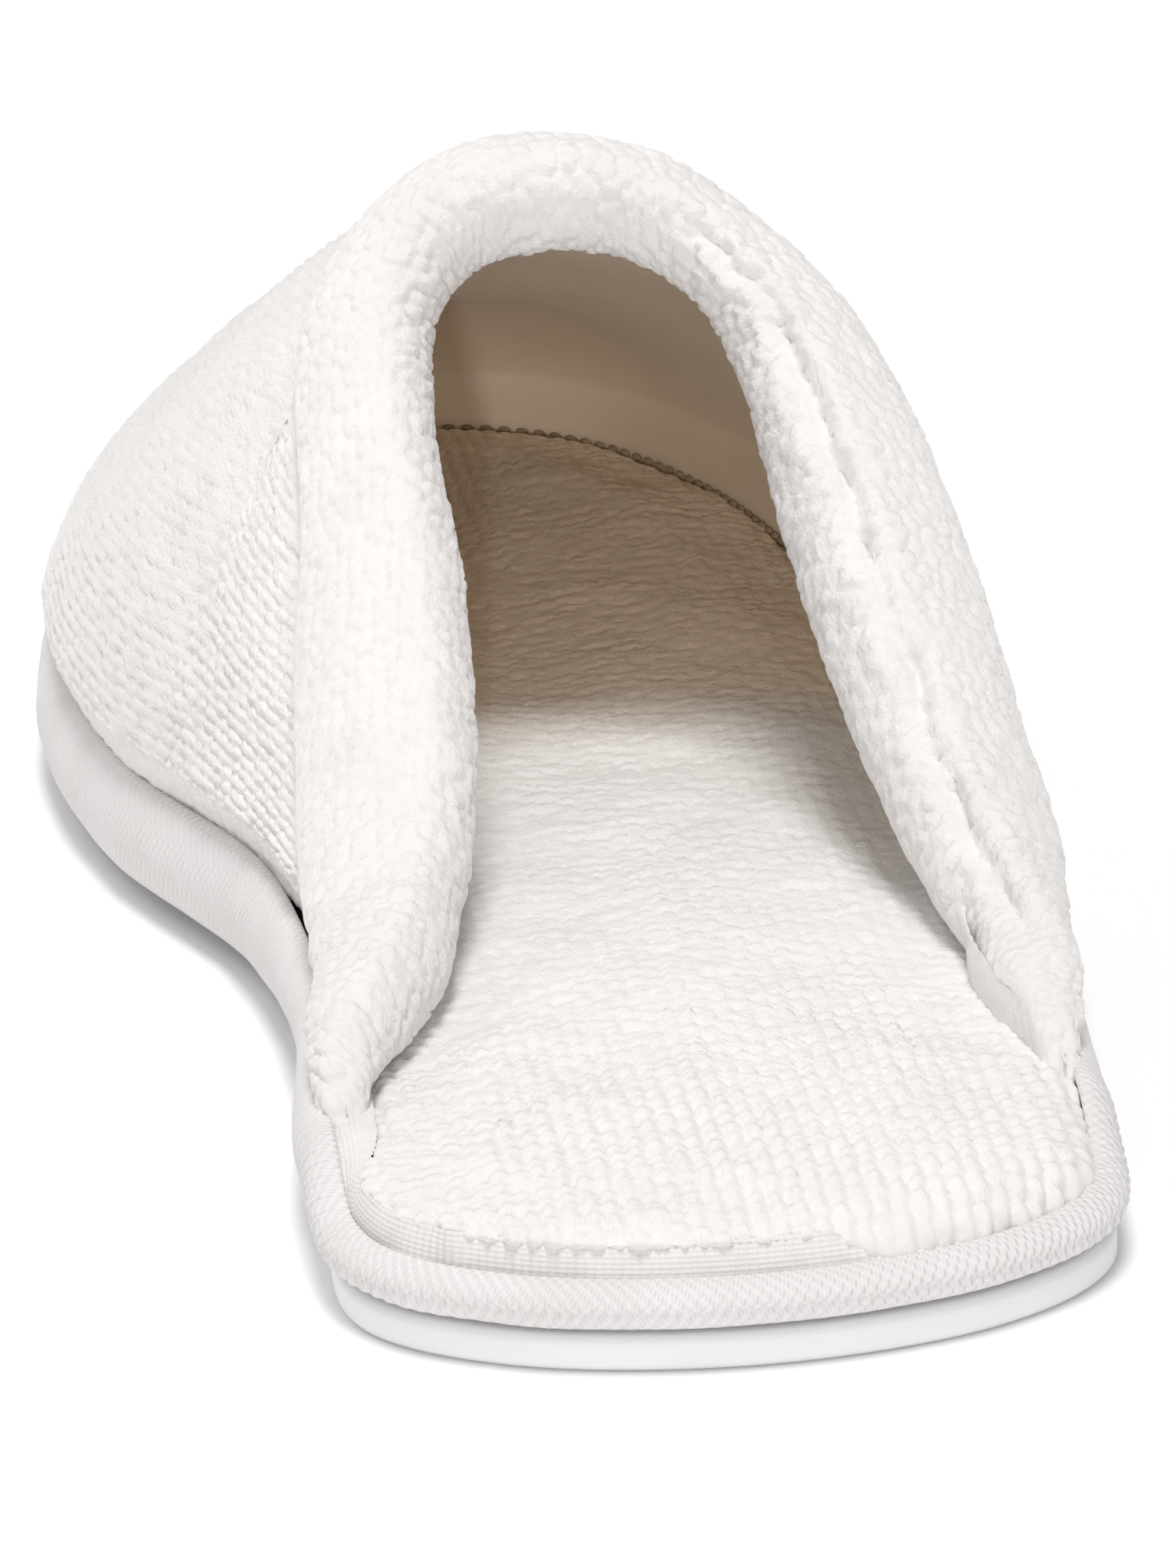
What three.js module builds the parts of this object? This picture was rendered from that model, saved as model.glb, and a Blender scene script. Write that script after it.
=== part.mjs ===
// A padded terry scuff slipper for the right foot, in millimetres.
// +Z is up, +Y runs from the heel to the toe, and the medial (arch) side is -X.
// The origin is on the floor, under the middle of the slipper.
import * as THREE from 'three';

// Driving dimensions
const LENGTH = 280; // heel to toe, over the edge binding
const BALL_WIDTH = 98; // widest part of the forefoot, over the binding
const HEEL_WIDTH = 78;
const INSTEP_HEIGHT = 73; // floor to the top of the upper at its throat
const TOE_HEIGHT = 37; // floor to the top of the toe box, where it rolls over
const TOE_ROLL = 28; // how far the toe box rolls over behind the toe tip

const OUTSOLE = 3.5; // foam sheet
const OUTSOLE_EDGE = 0.9; // rounding of its edge
const OUTSOLE_INSET_HEEL = 1; // from the outside of the binding
const OUTSOLE_INSET_FRONT = 6;
const NARROW_FROM = 14; // distances from the heel between which it draws in
const NARROW_TO = 76;
const CLEARANCE = 0.3; // between pieces that are glued or sewn face to face

const TAPE = 1.1; // binding tape
const TAPE_ROLL = 3; // radius of the padded roll it makes round the edge
const TAPE_DROOP = 2; // how far that roll hangs below the board at the front
const DROOP_RUN = 35; // over which length it comes to hang that far
const TAPE_TOP_LEG = 3.4; // width on top of the edge, from the outside
const TAPE_LOWER_LEG = 8; // width under the edge
const LIFT_RUN = 14; // length over which the tape climbs onto the upper's margin

const BOARD_EDGE = 1.8; // thickness of the footbed where the tape grips it
const CUSHION_HEIGHT = 6.9; // rise of the footbed above that edge
const CUSHION_EDGE = 6; // width over which it rises
const CUSHION_SHOULDER = 0.81; // share of its rise that it has reached there
const CUSHION_CROWN = 0.94; // and at twice that width
const DENT = 4; // how far the hem's feet press it in
const DENT_RUN = 30; // length of that dent

const WALL = 3.6; // terry, foam and lining together
const FLANGE = 3.5; // the upper's margin inside the tape
const TUCK = 3.9; // how far in the wall rises, from the outside of the binding
const TUCK_HEIGHT = 6; // height over which it bulges out again

const HEM = 3.2; // one layer of the padded hem round the opening
const HEM_GAP = 0.6; // between the hem and the wall it is folded over
const LINING_GAP = 1; // the same on the hollow side, where both are faceted
const HEM_WIDTH = 17; // width that the hem's pattern is cut to on the outside
const HEM_INSIDE = 8; // width of the hem on the lining

// Levels of the stack, from the floor up
const LOWER_LEG_UNDER = OUTSOLE + CLEARANCE;
const BOARD_UNDER = LOWER_LEG_UNDER + TAPE + CLEARANCE;
const BOARD_TOP = BOARD_UNDER + BOARD_EDGE;
const FLANGE_UNDER = BOARD_TOP + CLEARANCE;
const FLANGE_TOP = FLANGE_UNDER + FLANGE;
const HEEL_TAPE_TOP = BOARD_TOP + CLEARANCE + TAPE;
const FRONT_TAPE_TOP = FLANGE_TOP + CLEARANCE + TAPE;
const FLANGE_TIP = TAPE + 2 * CLEARANCE;
const NECK_HEIGHT = FRONT_TAPE_TOP + CLEARANCE; // where the wall leaves the tape

// Half widths of the sole at shares of its length, each as a share of the named width
const PLAN = [
  { along: 0.018, medial: 0.3, lateral: 0.3, of: HEEL_WIDTH },
  { along: 0.06, medial: 0.465, lateral: 0.46, of: HEEL_WIDTH },
  { along: 0.16, medial: 0.497, lateral: 0.503, of: HEEL_WIDTH },
  { along: 0.28, medial: 0.46, lateral: 0.525, of: HEEL_WIDTH },
  { along: 0.41, medial: 0.395, lateral: 0.432, of: BALL_WIDTH },
  { along: 0.53, medial: 0.507, lateral: 0.455, of: BALL_WIDTH },
  { along: 0.65, medial: 0.552, lateral: 0.452, of: BALL_WIDTH },
  { along: 0.77, medial: 0.52, lateral: 0.415, of: BALL_WIDTH },
  { along: 0.87, medial: 0.45, lateral: 0.345, of: BALL_WIDTH },
  { along: 0.95, medial: 0.335, lateral: 0.225, of: BALL_WIDTH },
  { along: 0.988, medial: 0.2, lateral: 0.09, of: BALL_WIDTH },
];
const TOE_TIP = -0.055; // how far the toe tip lies to the side, as a share of the ball width

// Height of the crown line at shares of the length: rise is a share of the instep height
const CROWN = [
  { along: 0.12, rise: 0.335 },
  { along: 0.2, rise: 0.34 },
  { along: 0.29, rise: 0.375 },
  { along: 0.375, rise: 0.553 },
  { along: 0.44, rise: 0.75 },
  { along: 0.5, rise: 0.923 },
  { along: 0.54, rise: 1 },
  { along: 0.59, rise: 0.978 },
  { along: 0.643, rise: 0.887 },
  { along: 0.714, rise: 0.776 },
  { along: 0.77, rise: 0.694 },
];
const MEDIAL_LEAN = 0.25; // share by which the shoulder of the arch is drawn in
const LATERAL_LEAN = -0.1; // and on the lateral side let out
const CROWN_SHIFT = 2.5; // the crown line lies this far to the lateral side

// The opening's edge: where it crosses each section, in degrees round the arch from the medial rim
const OPENING = [
  { along: 0.15, turn: 10 },
  { along: 0.2, turn: 31 },
  { along: 0.29, turn: 42 },
  { along: 0.375, turn: 50 },
  { along: 0.44, turn: 55 },
  { along: 0.5, turn: 60 },
  { along: 0.533, turn: 71 },
  { along: 0.54, turn: 90 },
  { along: 0.533, turn: 104 },
  { along: 0.5, turn: 118 },
  { along: 0.44, turn: 124.5 },
  { along: 0.375, turn: 129 },
  { along: 0.29, turn: 140 },
  { along: 0.2, turn: 156 },
  { along: 0.14, turn: 170 },
];

const MEDIAL = -1;
const LATERAL = 1;
const STATION_GAP = 7; // stations of a loop lie about this far apart from heel to toe
const HALF_LOOP = Math.round(LENGTH / STATION_GAP);
const FINE = 600; // samples of the sole's outline on each side

// Smooth value of a table's column between its rows
function lookUp(table, column, along) {
  const last = table.length - 1;
  const place = Math.min(Math.max(along, table[0].along), table[last].along);
  let i = 0;
  while (i < last - 1 && place > table[i + 1].along) i += 1;
  const slope = (k) => {
    const a = table[Math.max(k - 1, 0)];
    const b = table[Math.min(k + 1, last)];
    return (b[column] - a[column]) / (b.along - a.along);
  };
  const from = table[i];
  const to = table[i + 1];
  const span = to.along - from.along;
  const t = (place - from.along) / span;
  const rise = to[column] - from[column];
  const bend = t * (t - 1);
  const ease = t * t * (3 - 2 * t);
  return from[column] + rise * ease + bend * span * ((t - 1) * slope(i) + t * slope(i + 1));
}

// The sole's outline as two sides, heel to toe, each a list of points with outward normals
function outlineSides() {
  const corner = (row, side) => {
    const share = side === MEDIAL ? row.medial : row.lateral;
    return new THREE.Vector3(side * share * row.of, row.along * LENGTH, 0);
  };
  const heel = new THREE.Vector3(0, 0, 0);
  const toe = new THREE.Vector3(TOE_TIP * BALL_WIDTH, LENGTH, 0);
  const up = PLAN.map((row) => corner(row, MEDIAL));
  const down = PLAN.map((row) => corner(row, LATERAL)).reverse();
  const loop = new THREE.CatmullRomCurve3([heel, ...up, toe, ...down], true, 'centripetal');
  const toeAt = (PLAN.length + 1) / (2 * PLAN.length + 2);
  const sample = (t) => {
    const point = loop.getPoint(t);
    const tangent = loop.getTangent(t);
    return { x: point.x, y: point.y, nx: -tangent.y, ny: tangent.x };
  };
  const sides = { [MEDIAL]: [], [LATERAL]: [] };
  for (let i = 0; i <= FINE; i += 1) {
    sides[MEDIAL].push(sample((toeAt * i) / FINE));
    sides[LATERAL].push(sample(1 - ((1 - toeAt) * i) / FINE));
  }
  return sides;
}
const OUTLINE = outlineSides();

// Point of the outline at a distance from the heel, moved in from the outside of the binding
function rim(side, y, inset) {
  const points = OUTLINE[side];
  let low = 0;
  let high = points.length - 1;
  while (high - low > 1) {
    const middle = (low + high) >> 1;
    if (points[middle].y <= y) low = middle;
    else high = middle;
  }
  const a = points[low];
  const b = points[high];
  const t = b.y > a.y ? Math.min(Math.max((y - a.y) / (b.y - a.y), 0), 1) : 0;
  const mix = (key) => a[key] + (b[key] - a[key]) * t;
  const size = Math.hypot(mix('nx'), mix('ny'));
  return { x: mix('x') - (inset * mix('nx')) / size, y: y - (inset * mix('ny')) / size };
}

const smooth = (t) => {
  const s = Math.min(Math.max(t, 0), 1);
  return s * s * (3 - 2 * s);
};

// 0 round the heel, 1 where the upper is sewn in
const UPPER_STARTS = Math.min(...OPENING.map((row) => row.along)) * LENGTH;
const FRONT_STARTS = UPPER_STARTS - LIFT_RUN;
const FRONT_FULL = UPPER_STARTS - TAPE;
const frontShare = (y) => smooth((y - FRONT_STARTS) / (FRONT_FULL - FRONT_STARTS));
const blend = (heel, front, y) => heel + (front - heel) * frontShare(y);

// Distance from the heel of a loop's station, closer together at the heel and toe
const stationY = (k) => (LENGTH / 2) * (1 - Math.cos((Math.PI * k) / HALF_LOOP));

// A closed loop of points round the sole; inset and height may change along it
function loopRound(inset, height) {
  const points = [];
  const add = (side, k) => {
    const y = stationY(k);
    const p = rim(side, y, inset(y));
    points.push(new THREE.Vector3(p.x, p.y, height(y)));
  };
  for (let k = 0; k <= HALF_LOOP; k += 1) add(MEDIAL, k);
  for (let k = HALF_LOOP - 1; k > 0; k -= 1) add(LATERAL, k);
  return points;
}

// The line along the middle of the sole on which a loop's two sides meet
const SPINE_START = 0.14 * LENGTH;
const SPINE_END = 0.82 * LENGTH;
function spineLoop(height) {
  const point = (k) => {
    const y = SPINE_START + ((SPINE_END - SPINE_START) * stationY(k)) / LENGTH;
    return new THREE.Vector3((rim(MEDIAL, y, 0).x + rim(LATERAL, y, 0).x) / 2, y, height);
  };
  const there = Array.from({ length: HALF_LOOP + 1 }, (_, k) => point(k));
  return [...there, ...there.slice(1, HALF_LOOP).reverse()];
}

// Faces between rows of points; each row closes on itself, and so do the rows when asked
function gridFaces(count, rowCount, closed) {
  const faces = [];
  for (let r = 0; r < (closed ? rowCount : rowCount - 1); r += 1) {
    for (let i = 0; i < count; i += 1) {
      const a = r * count + i;
      const b = r * count + ((i + 1) % count);
      const up = ((r + 1) % rowCount) * count - r * count;
      faces.push([b, a, a + up], [b, a + up, b + up]);
    }
  }
  return faces;
}

// One skin over a list of loops
function skinLoops(loops, closed) {
  return solid(loops.flat(), gridFaces(loops[0].length, loops.length, closed));
}

// A geometry without the faces that have shrunk to a line
function solid(points, faces) {
  const same = (a, b) => points[a].distanceToSquared(points[b]) < 1e-8;
  const kept = faces.filter(([a, b, c]) => !same(a, b) && !same(b, c) && !same(c, a));
  const geometry = new THREE.BufferGeometry().setFromPoints(points);
  geometry.setIndex(kept.flat());
  geometry.computeVertexNormals();
  return geometry;
}

// Foam outsole: a flat sheet with a rounded edge
function outsoleGeometry() {
  const narrowing = (y) => smooth((y - NARROW_FROM) / (NARROW_TO - NARROW_FROM));
  const widest = OUTSOLE_INSET_HEEL;
  const edge = (y) => widest + (OUTSOLE_INSET_FRONT - widest) * narrowing(y);
  const at = (inset, height) => loopRound((y) => edge(y) + inset, () => height);
  return skinLoops([
    spineLoop(0),
    at(OUTSOLE_EDGE, 0),
    at(0, OUTSOLE_EDGE),
    at(0, OUTSOLE - OUTSOLE_EDGE),
    at(OUTSOLE_EDGE, OUTSOLE),
    spineLoop(OUTSOLE),
  ], false);
}

// Padded footbed: a thin edge inside the tape, and a cushion that rises within it
function footbedGeometry() {
  const heelStart = TAPE_TOP_LEG + 2 * CLEARANCE;
  const frontStart = TUCK + WALL + 2 * CLEARANCE;
  const dent = (y) => frontShare(y) * (1 - smooth((y - UPPER_STARTS) / DENT_RUN));
  const start = (y) => blend(heelStart, frontStart, y) + DENT * dent(y);
  const step = TAPE_LOWER_LEG + CLEARANCE;
  const flat = (inset, height) => loopRound(() => inset, () => height);
  const dome = (share) => loopRound(
    (y) => start(y) + CUSHION_EDGE * (1 - Math.cos((share * Math.PI) / 2)),
    () => BOARD_TOP + CUSHION_SHOULDER * CUSHION_HEIGHT * Math.sin((share * Math.PI) / 2),
  );
  const crown = (inset, share) => loopRound(
    (y) => start(y) + inset,
    () => BOARD_TOP + share * CUSHION_HEIGHT,
  );
  return skinLoops([
    spineLoop(LOWER_LEG_UNDER),
    flat(step, LOWER_LEG_UNDER),
    flat(step, BOARD_UNDER),
    flat(FLANGE_TIP, BOARD_UNDER),
    flat(FLANGE_TIP, BOARD_TOP),
    dome(0),
    dome(0.4),
    dome(0.7),
    dome(1),
    crown(2 * CUSHION_EDGE, CUSHION_CROWN),
    spineLoop(BOARD_TOP + CUSHION_HEIGHT),
  ], false);
}

// Section of the binding tape at a distance from the heel, as insets and heights
function tapeSection(y) {
  const top = blend(HEEL_TAPE_TOP, FRONT_TAPE_TOP, y);
  const droop = TAPE_DROOP * smooth((y - NARROW_TO) / DROOP_RUN);
  const low = LOWER_LEG_UNDER - droop;
  const middle = (top + low) / 2;
  const radius = (top - low) / 2;
  const rollEnd = 2 * TAPE_ROLL;
  const points = [
    { inset: TAPE_LOWER_LEG, height: LOWER_LEG_UNDER },
    { inset: rollEnd, height: LOWER_LEG_UNDER },
  ];
  const arcSteps = 6;
  for (let i = 0; i <= arcSteps; i += 1) {
    const angle = Math.PI * (i / arcSteps - 0.5);
    points.push({
      inset: TAPE_ROLL * (1 - Math.cos(angle)),
      height: middle + radius * Math.sin(angle),
    });
  }
  points.push(
    { inset: TAPE_TOP_LEG, height: top },
    { inset: TAPE_TOP_LEG, height: top - TAPE },
    { inset: FLANGE_TIP - CLEARANCE, height: top - TAPE },
    { inset: FLANGE_TIP - CLEARANCE, height: LOWER_LEG_UNDER + TAPE },
    { inset: TAPE_LOWER_LEG, height: LOWER_LEG_UNDER + TAPE },
  );
  return points;
}

// Binding tape: one closed ring round the edge
function bindingGeometry() {
  const count = tapeSection(0).length;
  const loops = Array.from({ length: count }, (_, i) => loopRound(
    (y) => tapeSection(y)[i].inset,
    (y) => tapeSection(y)[i].height,
  ));
  return skinLoops(loops, true);
}

// How far the crown lies behind its section's feet: nothing up to the ball, TOE_ROLL at the tip
const ROLL_STARTS = LENGTH - 2 * TOE_ROLL;
const crownSetback = (y) => TOE_ROLL * Math.max((y - ROLL_STARTS) / (LENGTH - ROLL_STARTS), 0) ** 2;

// Height of the crown over the section whose feet stand at a distance from the heel
function crownHeight(y) {
  const along = (y - crownSetback(y)) / LENGTH;
  const known = CROWN[CROWN.length - 1];
  if (along <= known.along) return INSTEP_HEIGHT * lookUp(CROWN, 'rise', along);
  const t = (along - known.along) / (1 - TOE_ROLL / LENGTH - known.along);
  const from = INSTEP_HEIGHT * known.rise;
  return from + (TOE_HEIGHT - from) * (1.6 * t - 0.6 * t * t);
}

// Point on the outside of the upper, on the arch at distance y from the heel;
// turn runs from 0 at the medial rim through 90 at the crown to 180 at the lateral rim, and
// depth is how far the point lies inside
function lastPoint(y, turn, depth = 0) {
  const angle = THREE.MathUtils.degToRad(turn);
  const side = turn <= 90 ? MEDIAL : LATERAL;
  const height = FLANGE_TOP + (crownHeight(y) - depth - FLANGE_TOP) * Math.sin(angle);
  const tuck = TUCK * (1 - smooth((height - NECK_HEIGHT) / TUCK_HEIGHT));
  const foot = rim(side, y, tuck + depth);
  const lean = side === MEDIAL ? MEDIAL_LEAN : LATERAL_LEAN;
  const out = Math.abs(Math.cos(angle)) * (1 - lean * Math.sin(angle) ** 2);
  const crown = {
    x: (rim(MEDIAL, y, 0).x + rim(LATERAL, y, 0).x) / 2 + CROWN_SHIFT * (1 - smooth(y / LENGTH)),
    y: y - crownSetback(y),
  };
  return new THREE.Vector3(
    crown.x + (foot.x - crown.x) * out,
    crown.y + (foot.y - crown.y) * out,
    height,
  );
}

// The last's surface at a place: its point, outward normal and the two directions on it
function lastFrame(place) {
  const d = 0.4;
  const at = (dy, dt) => lastPoint(place.y + dy, place.turn + dt);
  const alongY = at(d, 0).sub(at(-d, 0)).divideScalar(2 * d);
  const alongTurn = at(0, d).sub(at(0, -d)).divideScalar(2 * d);
  const normal = alongTurn.clone().cross(alongY).normalize();
  return { point: at(0, 0), alongY, alongTurn, normal };
}

// Where the opening's edge lies, from 0 at its medial foot to 1 at its lateral foot
const TURN_SCALE = 200;
const edgeCurve = new THREE.CatmullRomCurve3(
  OPENING.map((row) => new THREE.Vector3(row.along * TURN_SCALE, row.turn, 0)),
  false,
  'centripetal',
);
function openingEdge(share) {
  const place = edgeCurve.getPoint(share);
  return { y: (place.x / TURN_SCALE) * LENGTH, turn: place.y };
}

// A wall between an outer skin and its inner partner, point for point, closed round its edges
function wallBetween(outer, inner, faces) {
  const shift = outer.length;
  const all = [...faces, ...faces.map(([a, b, c]) => [a + shift, c + shift, b + shift])];
  const used = new Set(faces.flatMap(([a, b, c]) => [`${a} ${b}`, `${b} ${c}`, `${c} ${a}`]));
  for (const edge of used) {
    const [a, b] = edge.split(' ').map(Number);
    if (!used.has(`${b} ${a}`)) all.push([b, a, a + shift], [b, a + shift, b + shift]);
  }
  return solid([...outer, ...inner], all);
}

// Padded upper: one hollow wall, open behind and underneath, with its margin inside the tape
const SIDE_STATIONS = 22;
const FRONT_STATIONS = 20;
const ARCH_STEPS = 12;
const THROAT_LEAN = 18; // the foot of the throat's section lies this far behind its top
function upperGeometry() {
  const outer = [];
  const inner = [];
  const faces = [];
  const throat = openingEdge(0.5);
  const add = (point, partner) => {
    inner.push(partner);
    return outer.push(point) - 1;
  };
  const column = (side, footY, top, shared) => {
    const margin = rim(side, footY, FLANGE_TIP);
    const inside = rim(side, footY, TUCK + WALL);
    const neckTurn = THREE.MathUtils.radToDeg(
      Math.asin((NECK_HEIGHT - FLANGE_TOP) / (crownHeight(footY) - FLANGE_TOP)),
    );
    const start = side === MEDIAL ? neckTurn : 180 - neckTurn;
    const neck = lastPoint(footY, start);
    const made = [
      add(
        new THREE.Vector3(margin.x, margin.y, FLANGE_TOP),
        new THREE.Vector3(margin.x, margin.y, FLANGE_UNDER),
      ),
      add(
        new THREE.Vector3(neck.x, neck.y, FLANGE_TOP),
        new THREE.Vector3(inside.x, inside.y, FLANGE_UNDER),
      ),
    ];
    for (let i = 0; i <= ARCH_STEPS; i += 1) {
      const share = (1 - Math.cos((Math.PI * i) / ARCH_STEPS)) / 2;
      if (i === ARCH_STEPS && shared !== null) {
        made.push(shared);
        continue;
      }
      const place = { y: footY + (top.y - footY) * share, turn: start + (top.turn - start) * share };
      const { point, normal } = lastFrame(place);
      const lining = place.y < ROLL_STARTS
        ? point.clone().addScaledVector(normal, -WALL)
        : lastPoint(place.y, place.turn, WALL);
      made.push(add(point, lining));
    }
    return made;
  };
  const medial = [];
  const lateral = [];
  const back = [openingEdge(0).y, openingEdge(1).y];
  const throatFoot = throat.y - THROAT_LEAN;
  for (let k = 0; k < SIDE_STATIONS; k += 1) {
    const share = k / SIDE_STATIONS;
    const feet = back.map((y) => y + (throatFoot - y) * share);
    medial.push(column(MEDIAL, feet[0], openingEdge(share / 2), null));
    lateral.push(column(LATERAL, feet[1], openingEdge(1 - share / 2), null));
  }
  for (let k = 0; k <= FRONT_STATIONS; k += 1) {
    const share = Math.sin((Math.PI * k) / (2 * FRONT_STATIONS));
    const footY = throatFoot + (LENGTH - throatFoot) * share;
    const top = { y: throat.y + (LENGTH - throat.y) * share, turn: 90 };
    medial.push(column(MEDIAL, footY, top, null));
    const crown = medial[medial.length - 1][ARCH_STEPS + 2];
    lateral.push(k === FRONT_STATIONS ? medial[medial.length - 1] : column(LATERAL, footY, top, crown));
  }
  const skin = (columns, flip) => {
    for (let k = 0; k + 1 < columns.length; k += 1) {
      for (let i = 0; i < columns[k].length - 1; i += 1) {
        const quad = [columns[k][i], columns[k + 1][i], columns[k + 1][i + 1], columns[k][i + 1]];
        if (flip) quad.reverse();
        faces.push([quad[0], quad[1], quad[2]], [quad[0], quad[2], quad[3]]);
      }
    }
  };
  skin(medial, true);
  skin(lateral, false);
  return wallBetween(outer, inner, faces);
}

// The place reached by walking over the last at right angles to the opening's edge
function walk(start, away, distance) {
  const steps = 6;
  let place = start;
  for (let i = 0; i < steps; i += 1) {
    const { alongY, alongTurn } = lastFrame(place);
    const yy = alongY.dot(alongY);
    const yt = alongY.dot(alongTurn);
    const tt = alongTurn.dot(alongTurn);
    const dy = away.dot(alongY);
    const dt = away.dot(alongTurn);
    const det = yy * tt - yt * yt;
    const step = { y: (dy * tt - dt * yt) / det, turn: (dt * yy - dy * yt) / det };
    const size = alongY.clone().multiplyScalar(step.y).addScaledVector(alongTurn, step.turn).length();
    const scale = distance / steps / size;
    place = { y: place.y + step.y * scale, turn: place.turn + step.turn * scale };
  }
  return place;
}

// The hem from its medial foot to its lateral foot: its width as a share of HEM_WIDTH, and how
// thick its padding is outside and inside the wall, as shares of HEM
const HEM_ROLL = [
  { along: 0, width: 0.4, outside: 0.35, inside: 0.15 },
  { along: 0.05, width: 0.47, outside: 0.75, inside: 0.3 },
  { along: 0.12, width: 0.68, outside: 1, inside: 0.5 },
  { along: 0.18, width: 0.9, outside: 1, inside: 0.78 },
  { along: 0.25, width: 0.86, outside: 1, inside: 0.87 },
  { along: 0.3, width: 0.66, outside: 0.85, inside: 0.87 },
  { along: 0.35, width: 0.53, outside: 0.72, inside: 1.35 },
  { along: 0.41, width: 0.48, outside: 0.55, inside: 1.2 },
  { along: 0.46, width: 0.47, outside: 0.95, inside: 0.85 },
  { along: 0.5, width: 0.47, outside: 1.1, inside: 0.9 },
  { along: 0.56, width: 0.49, outside: 1, inside: 0.75 },
  { along: 0.61, width: 0.56, outside: 0.5, inside: 0.7 },
  { along: 0.66, width: 0.7, outside: 0.95, inside: 1 },
  { along: 0.71, width: 0.75, outside: 1.4, inside: 1.45 },
  { along: 0.78, width: 0.68, outside: 1.45, inside: 1.35 },
  { along: 0.85, width: 0.58, outside: 0.95, inside: 1.5 },
  { along: 0.9, width: 0.52, outside: 0.7, inside: 1.1 },
  { along: 0.95, width: 0.55, outside: 0.55, inside: 0.5 },
  { along: 1, width: 0.4, outside: 0.3, inside: 0.15 },
];

// Profile of the hem: how far along its width, and how much of its padding's height
const HEM_OUTER_LAYER = [
  { at: 1, lift: 0.3 },
  { at: 0.85, lift: 0.8 },
  { at: 0.55, lift: 1 },
  { at: 0.2, lift: 1 },
];
const HEM_INNER_LAYER = [
  { at: 0.4, lift: 1 },
  { at: 0.8, lift: 0.8 },
  { at: 1, lift: 0.3 },
];
const NOSE_STEPS = 4;

// Section of the hem at a share of the opening's edge: a thick fold over the wall's edge.
// Its first half runs over the padding and its second half comes back along the wall
function hemSection(share) {
  const place = openingEdge(share);
  const here = lastFrame(place);
  const d = 0.002;
  const before = openingEdge(Math.max(share - d, 0));
  const after = openingEdge(Math.min(share + d, 1));
  const edge = lastPoint(after.y, after.turn).sub(lastPoint(before.y, before.turn)).normalize();
  const away = here.normal.clone().cross(edge).normalize();
  const outside = HEM * lookUp(HEM_ROLL, 'outside', share);
  const inside = HEM * lookUp(HEM_ROLL, 'inside', share);
  const lining = WALL + LINING_GAP;
  const over = (distance, lift) => {
    const frame = lastFrame(walk(place, away, distance));
    return frame.point.addScaledVector(frame.normal, lift);
  };
  const fitting = (width, lift, floor) => {
    let fits = width;
    while (fits > HEM_GAP && over(fits, lift).z < floor) fits -= HEM_GAP;
    return fits;
  };
  const wanted = HEM_WIDTH * lookUp(HEM_ROLL, 'width', share);
  const outerWidth = fitting(wanted, HEM_GAP + outside, FRONT_TAPE_TOP + HEM_GAP);
  const innerWidth = fitting(HEM_INSIDE, -lining - inside, BOARD_TOP + CUSHION_HEIGHT);
  const nose = (outer, inner) => Array.from({ length: NOSE_STEPS + 1 }, (_, i) => {
    const angle = (Math.PI * i) / NOSE_STEPS;
    const middle = (outer - inner) / 2;
    const half = (outer + inner) / 2;
    const depth = half + (HEM_GAP - lining) / 2;
    return here.point.clone()
      .addScaledVector(here.normal, middle + half * Math.cos(angle))
      .addScaledVector(away, -depth * Math.sin(angle));
  });
  const padding = [
    ...HEM_OUTER_LAYER.map((row) => over(row.at * outerWidth, HEM_GAP + row.lift * outside)),
    ...nose(HEM_GAP + outside, lining + inside),
    ...HEM_INNER_LAYER.map((row) => over(row.at * innerWidth, -lining - row.lift * inside)),
  ];
  const pocket = [
    ...HEM_OUTER_LAYER.map((row) => over(row.at * outerWidth, HEM_GAP)),
    ...nose(HEM_GAP, lining),
    ...HEM_INNER_LAYER.map((row) => over(row.at * innerWidth, -lining)),
  ];
  return [...padding, ...pocket.reverse()];
}

// Hem: the padded terry fold round the whole opening, with a flat cut end at each foot
function hemGeometry() {
  const stations = 2 * SIDE_STATIONS;
  const loops = [];
  for (let k = stations; k >= 0; k -= 1) loops.push(hemSection(k / stations));
  const count = loops[0].length;
  const faces = gridFaces(count, loops.length, false);
  const last = (loops.length - 1) * count;
  for (let i = 0; i + 1 < count / 2; i += 1) {
    const quad = [i, i + 1, count - 2 - i, count - 1 - i];
    faces.push([quad[0], quad[1], quad[2]], [quad[0], quad[2], quad[3]]);
    faces.push([quad[0] + last, quad[2] + last, quad[1] + last]);
    faces.push([quad[0] + last, quad[3] + last, quad[2] + last]);
  }
  return solid(loops.flat(), faces);
}

const finish = (color, roughness) => new THREE.MeshStandardMaterial({ color, roughness, metalness: 0 });
const TERRY = finish('#f1eeeb', 0.95);
const pieces = [
  { name: 'outsole', geometry: outsoleGeometry(), material: finish('#f4f4f5', 0.55) },
  { name: 'footbed', geometry: footbedGeometry(), material: TERRY },
  { name: 'binding', geometry: bindingGeometry(), material: finish('#efe9e5', 0.8) },
  { name: 'upper', geometry: upperGeometry(), material: TERRY },
  { name: 'collar_hem', geometry: hemGeometry(), material: TERRY },
];

const slipper = new THREE.Group();
for (const piece of pieces) {
  const mesh = new THREE.Mesh(piece.geometry, piece.material);
  mesh.name = piece.name;
  slipper.add(mesh);
}
// The part's frame: the middle of the slipper's box, at the floor
const box = new THREE.Box3().setFromObject(slipper, true);
const centre = box.getCenter(new THREE.Vector3());
slipper.position.set(-centre.x, -centre.y, -box.min.z);

export default slipper;
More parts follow.
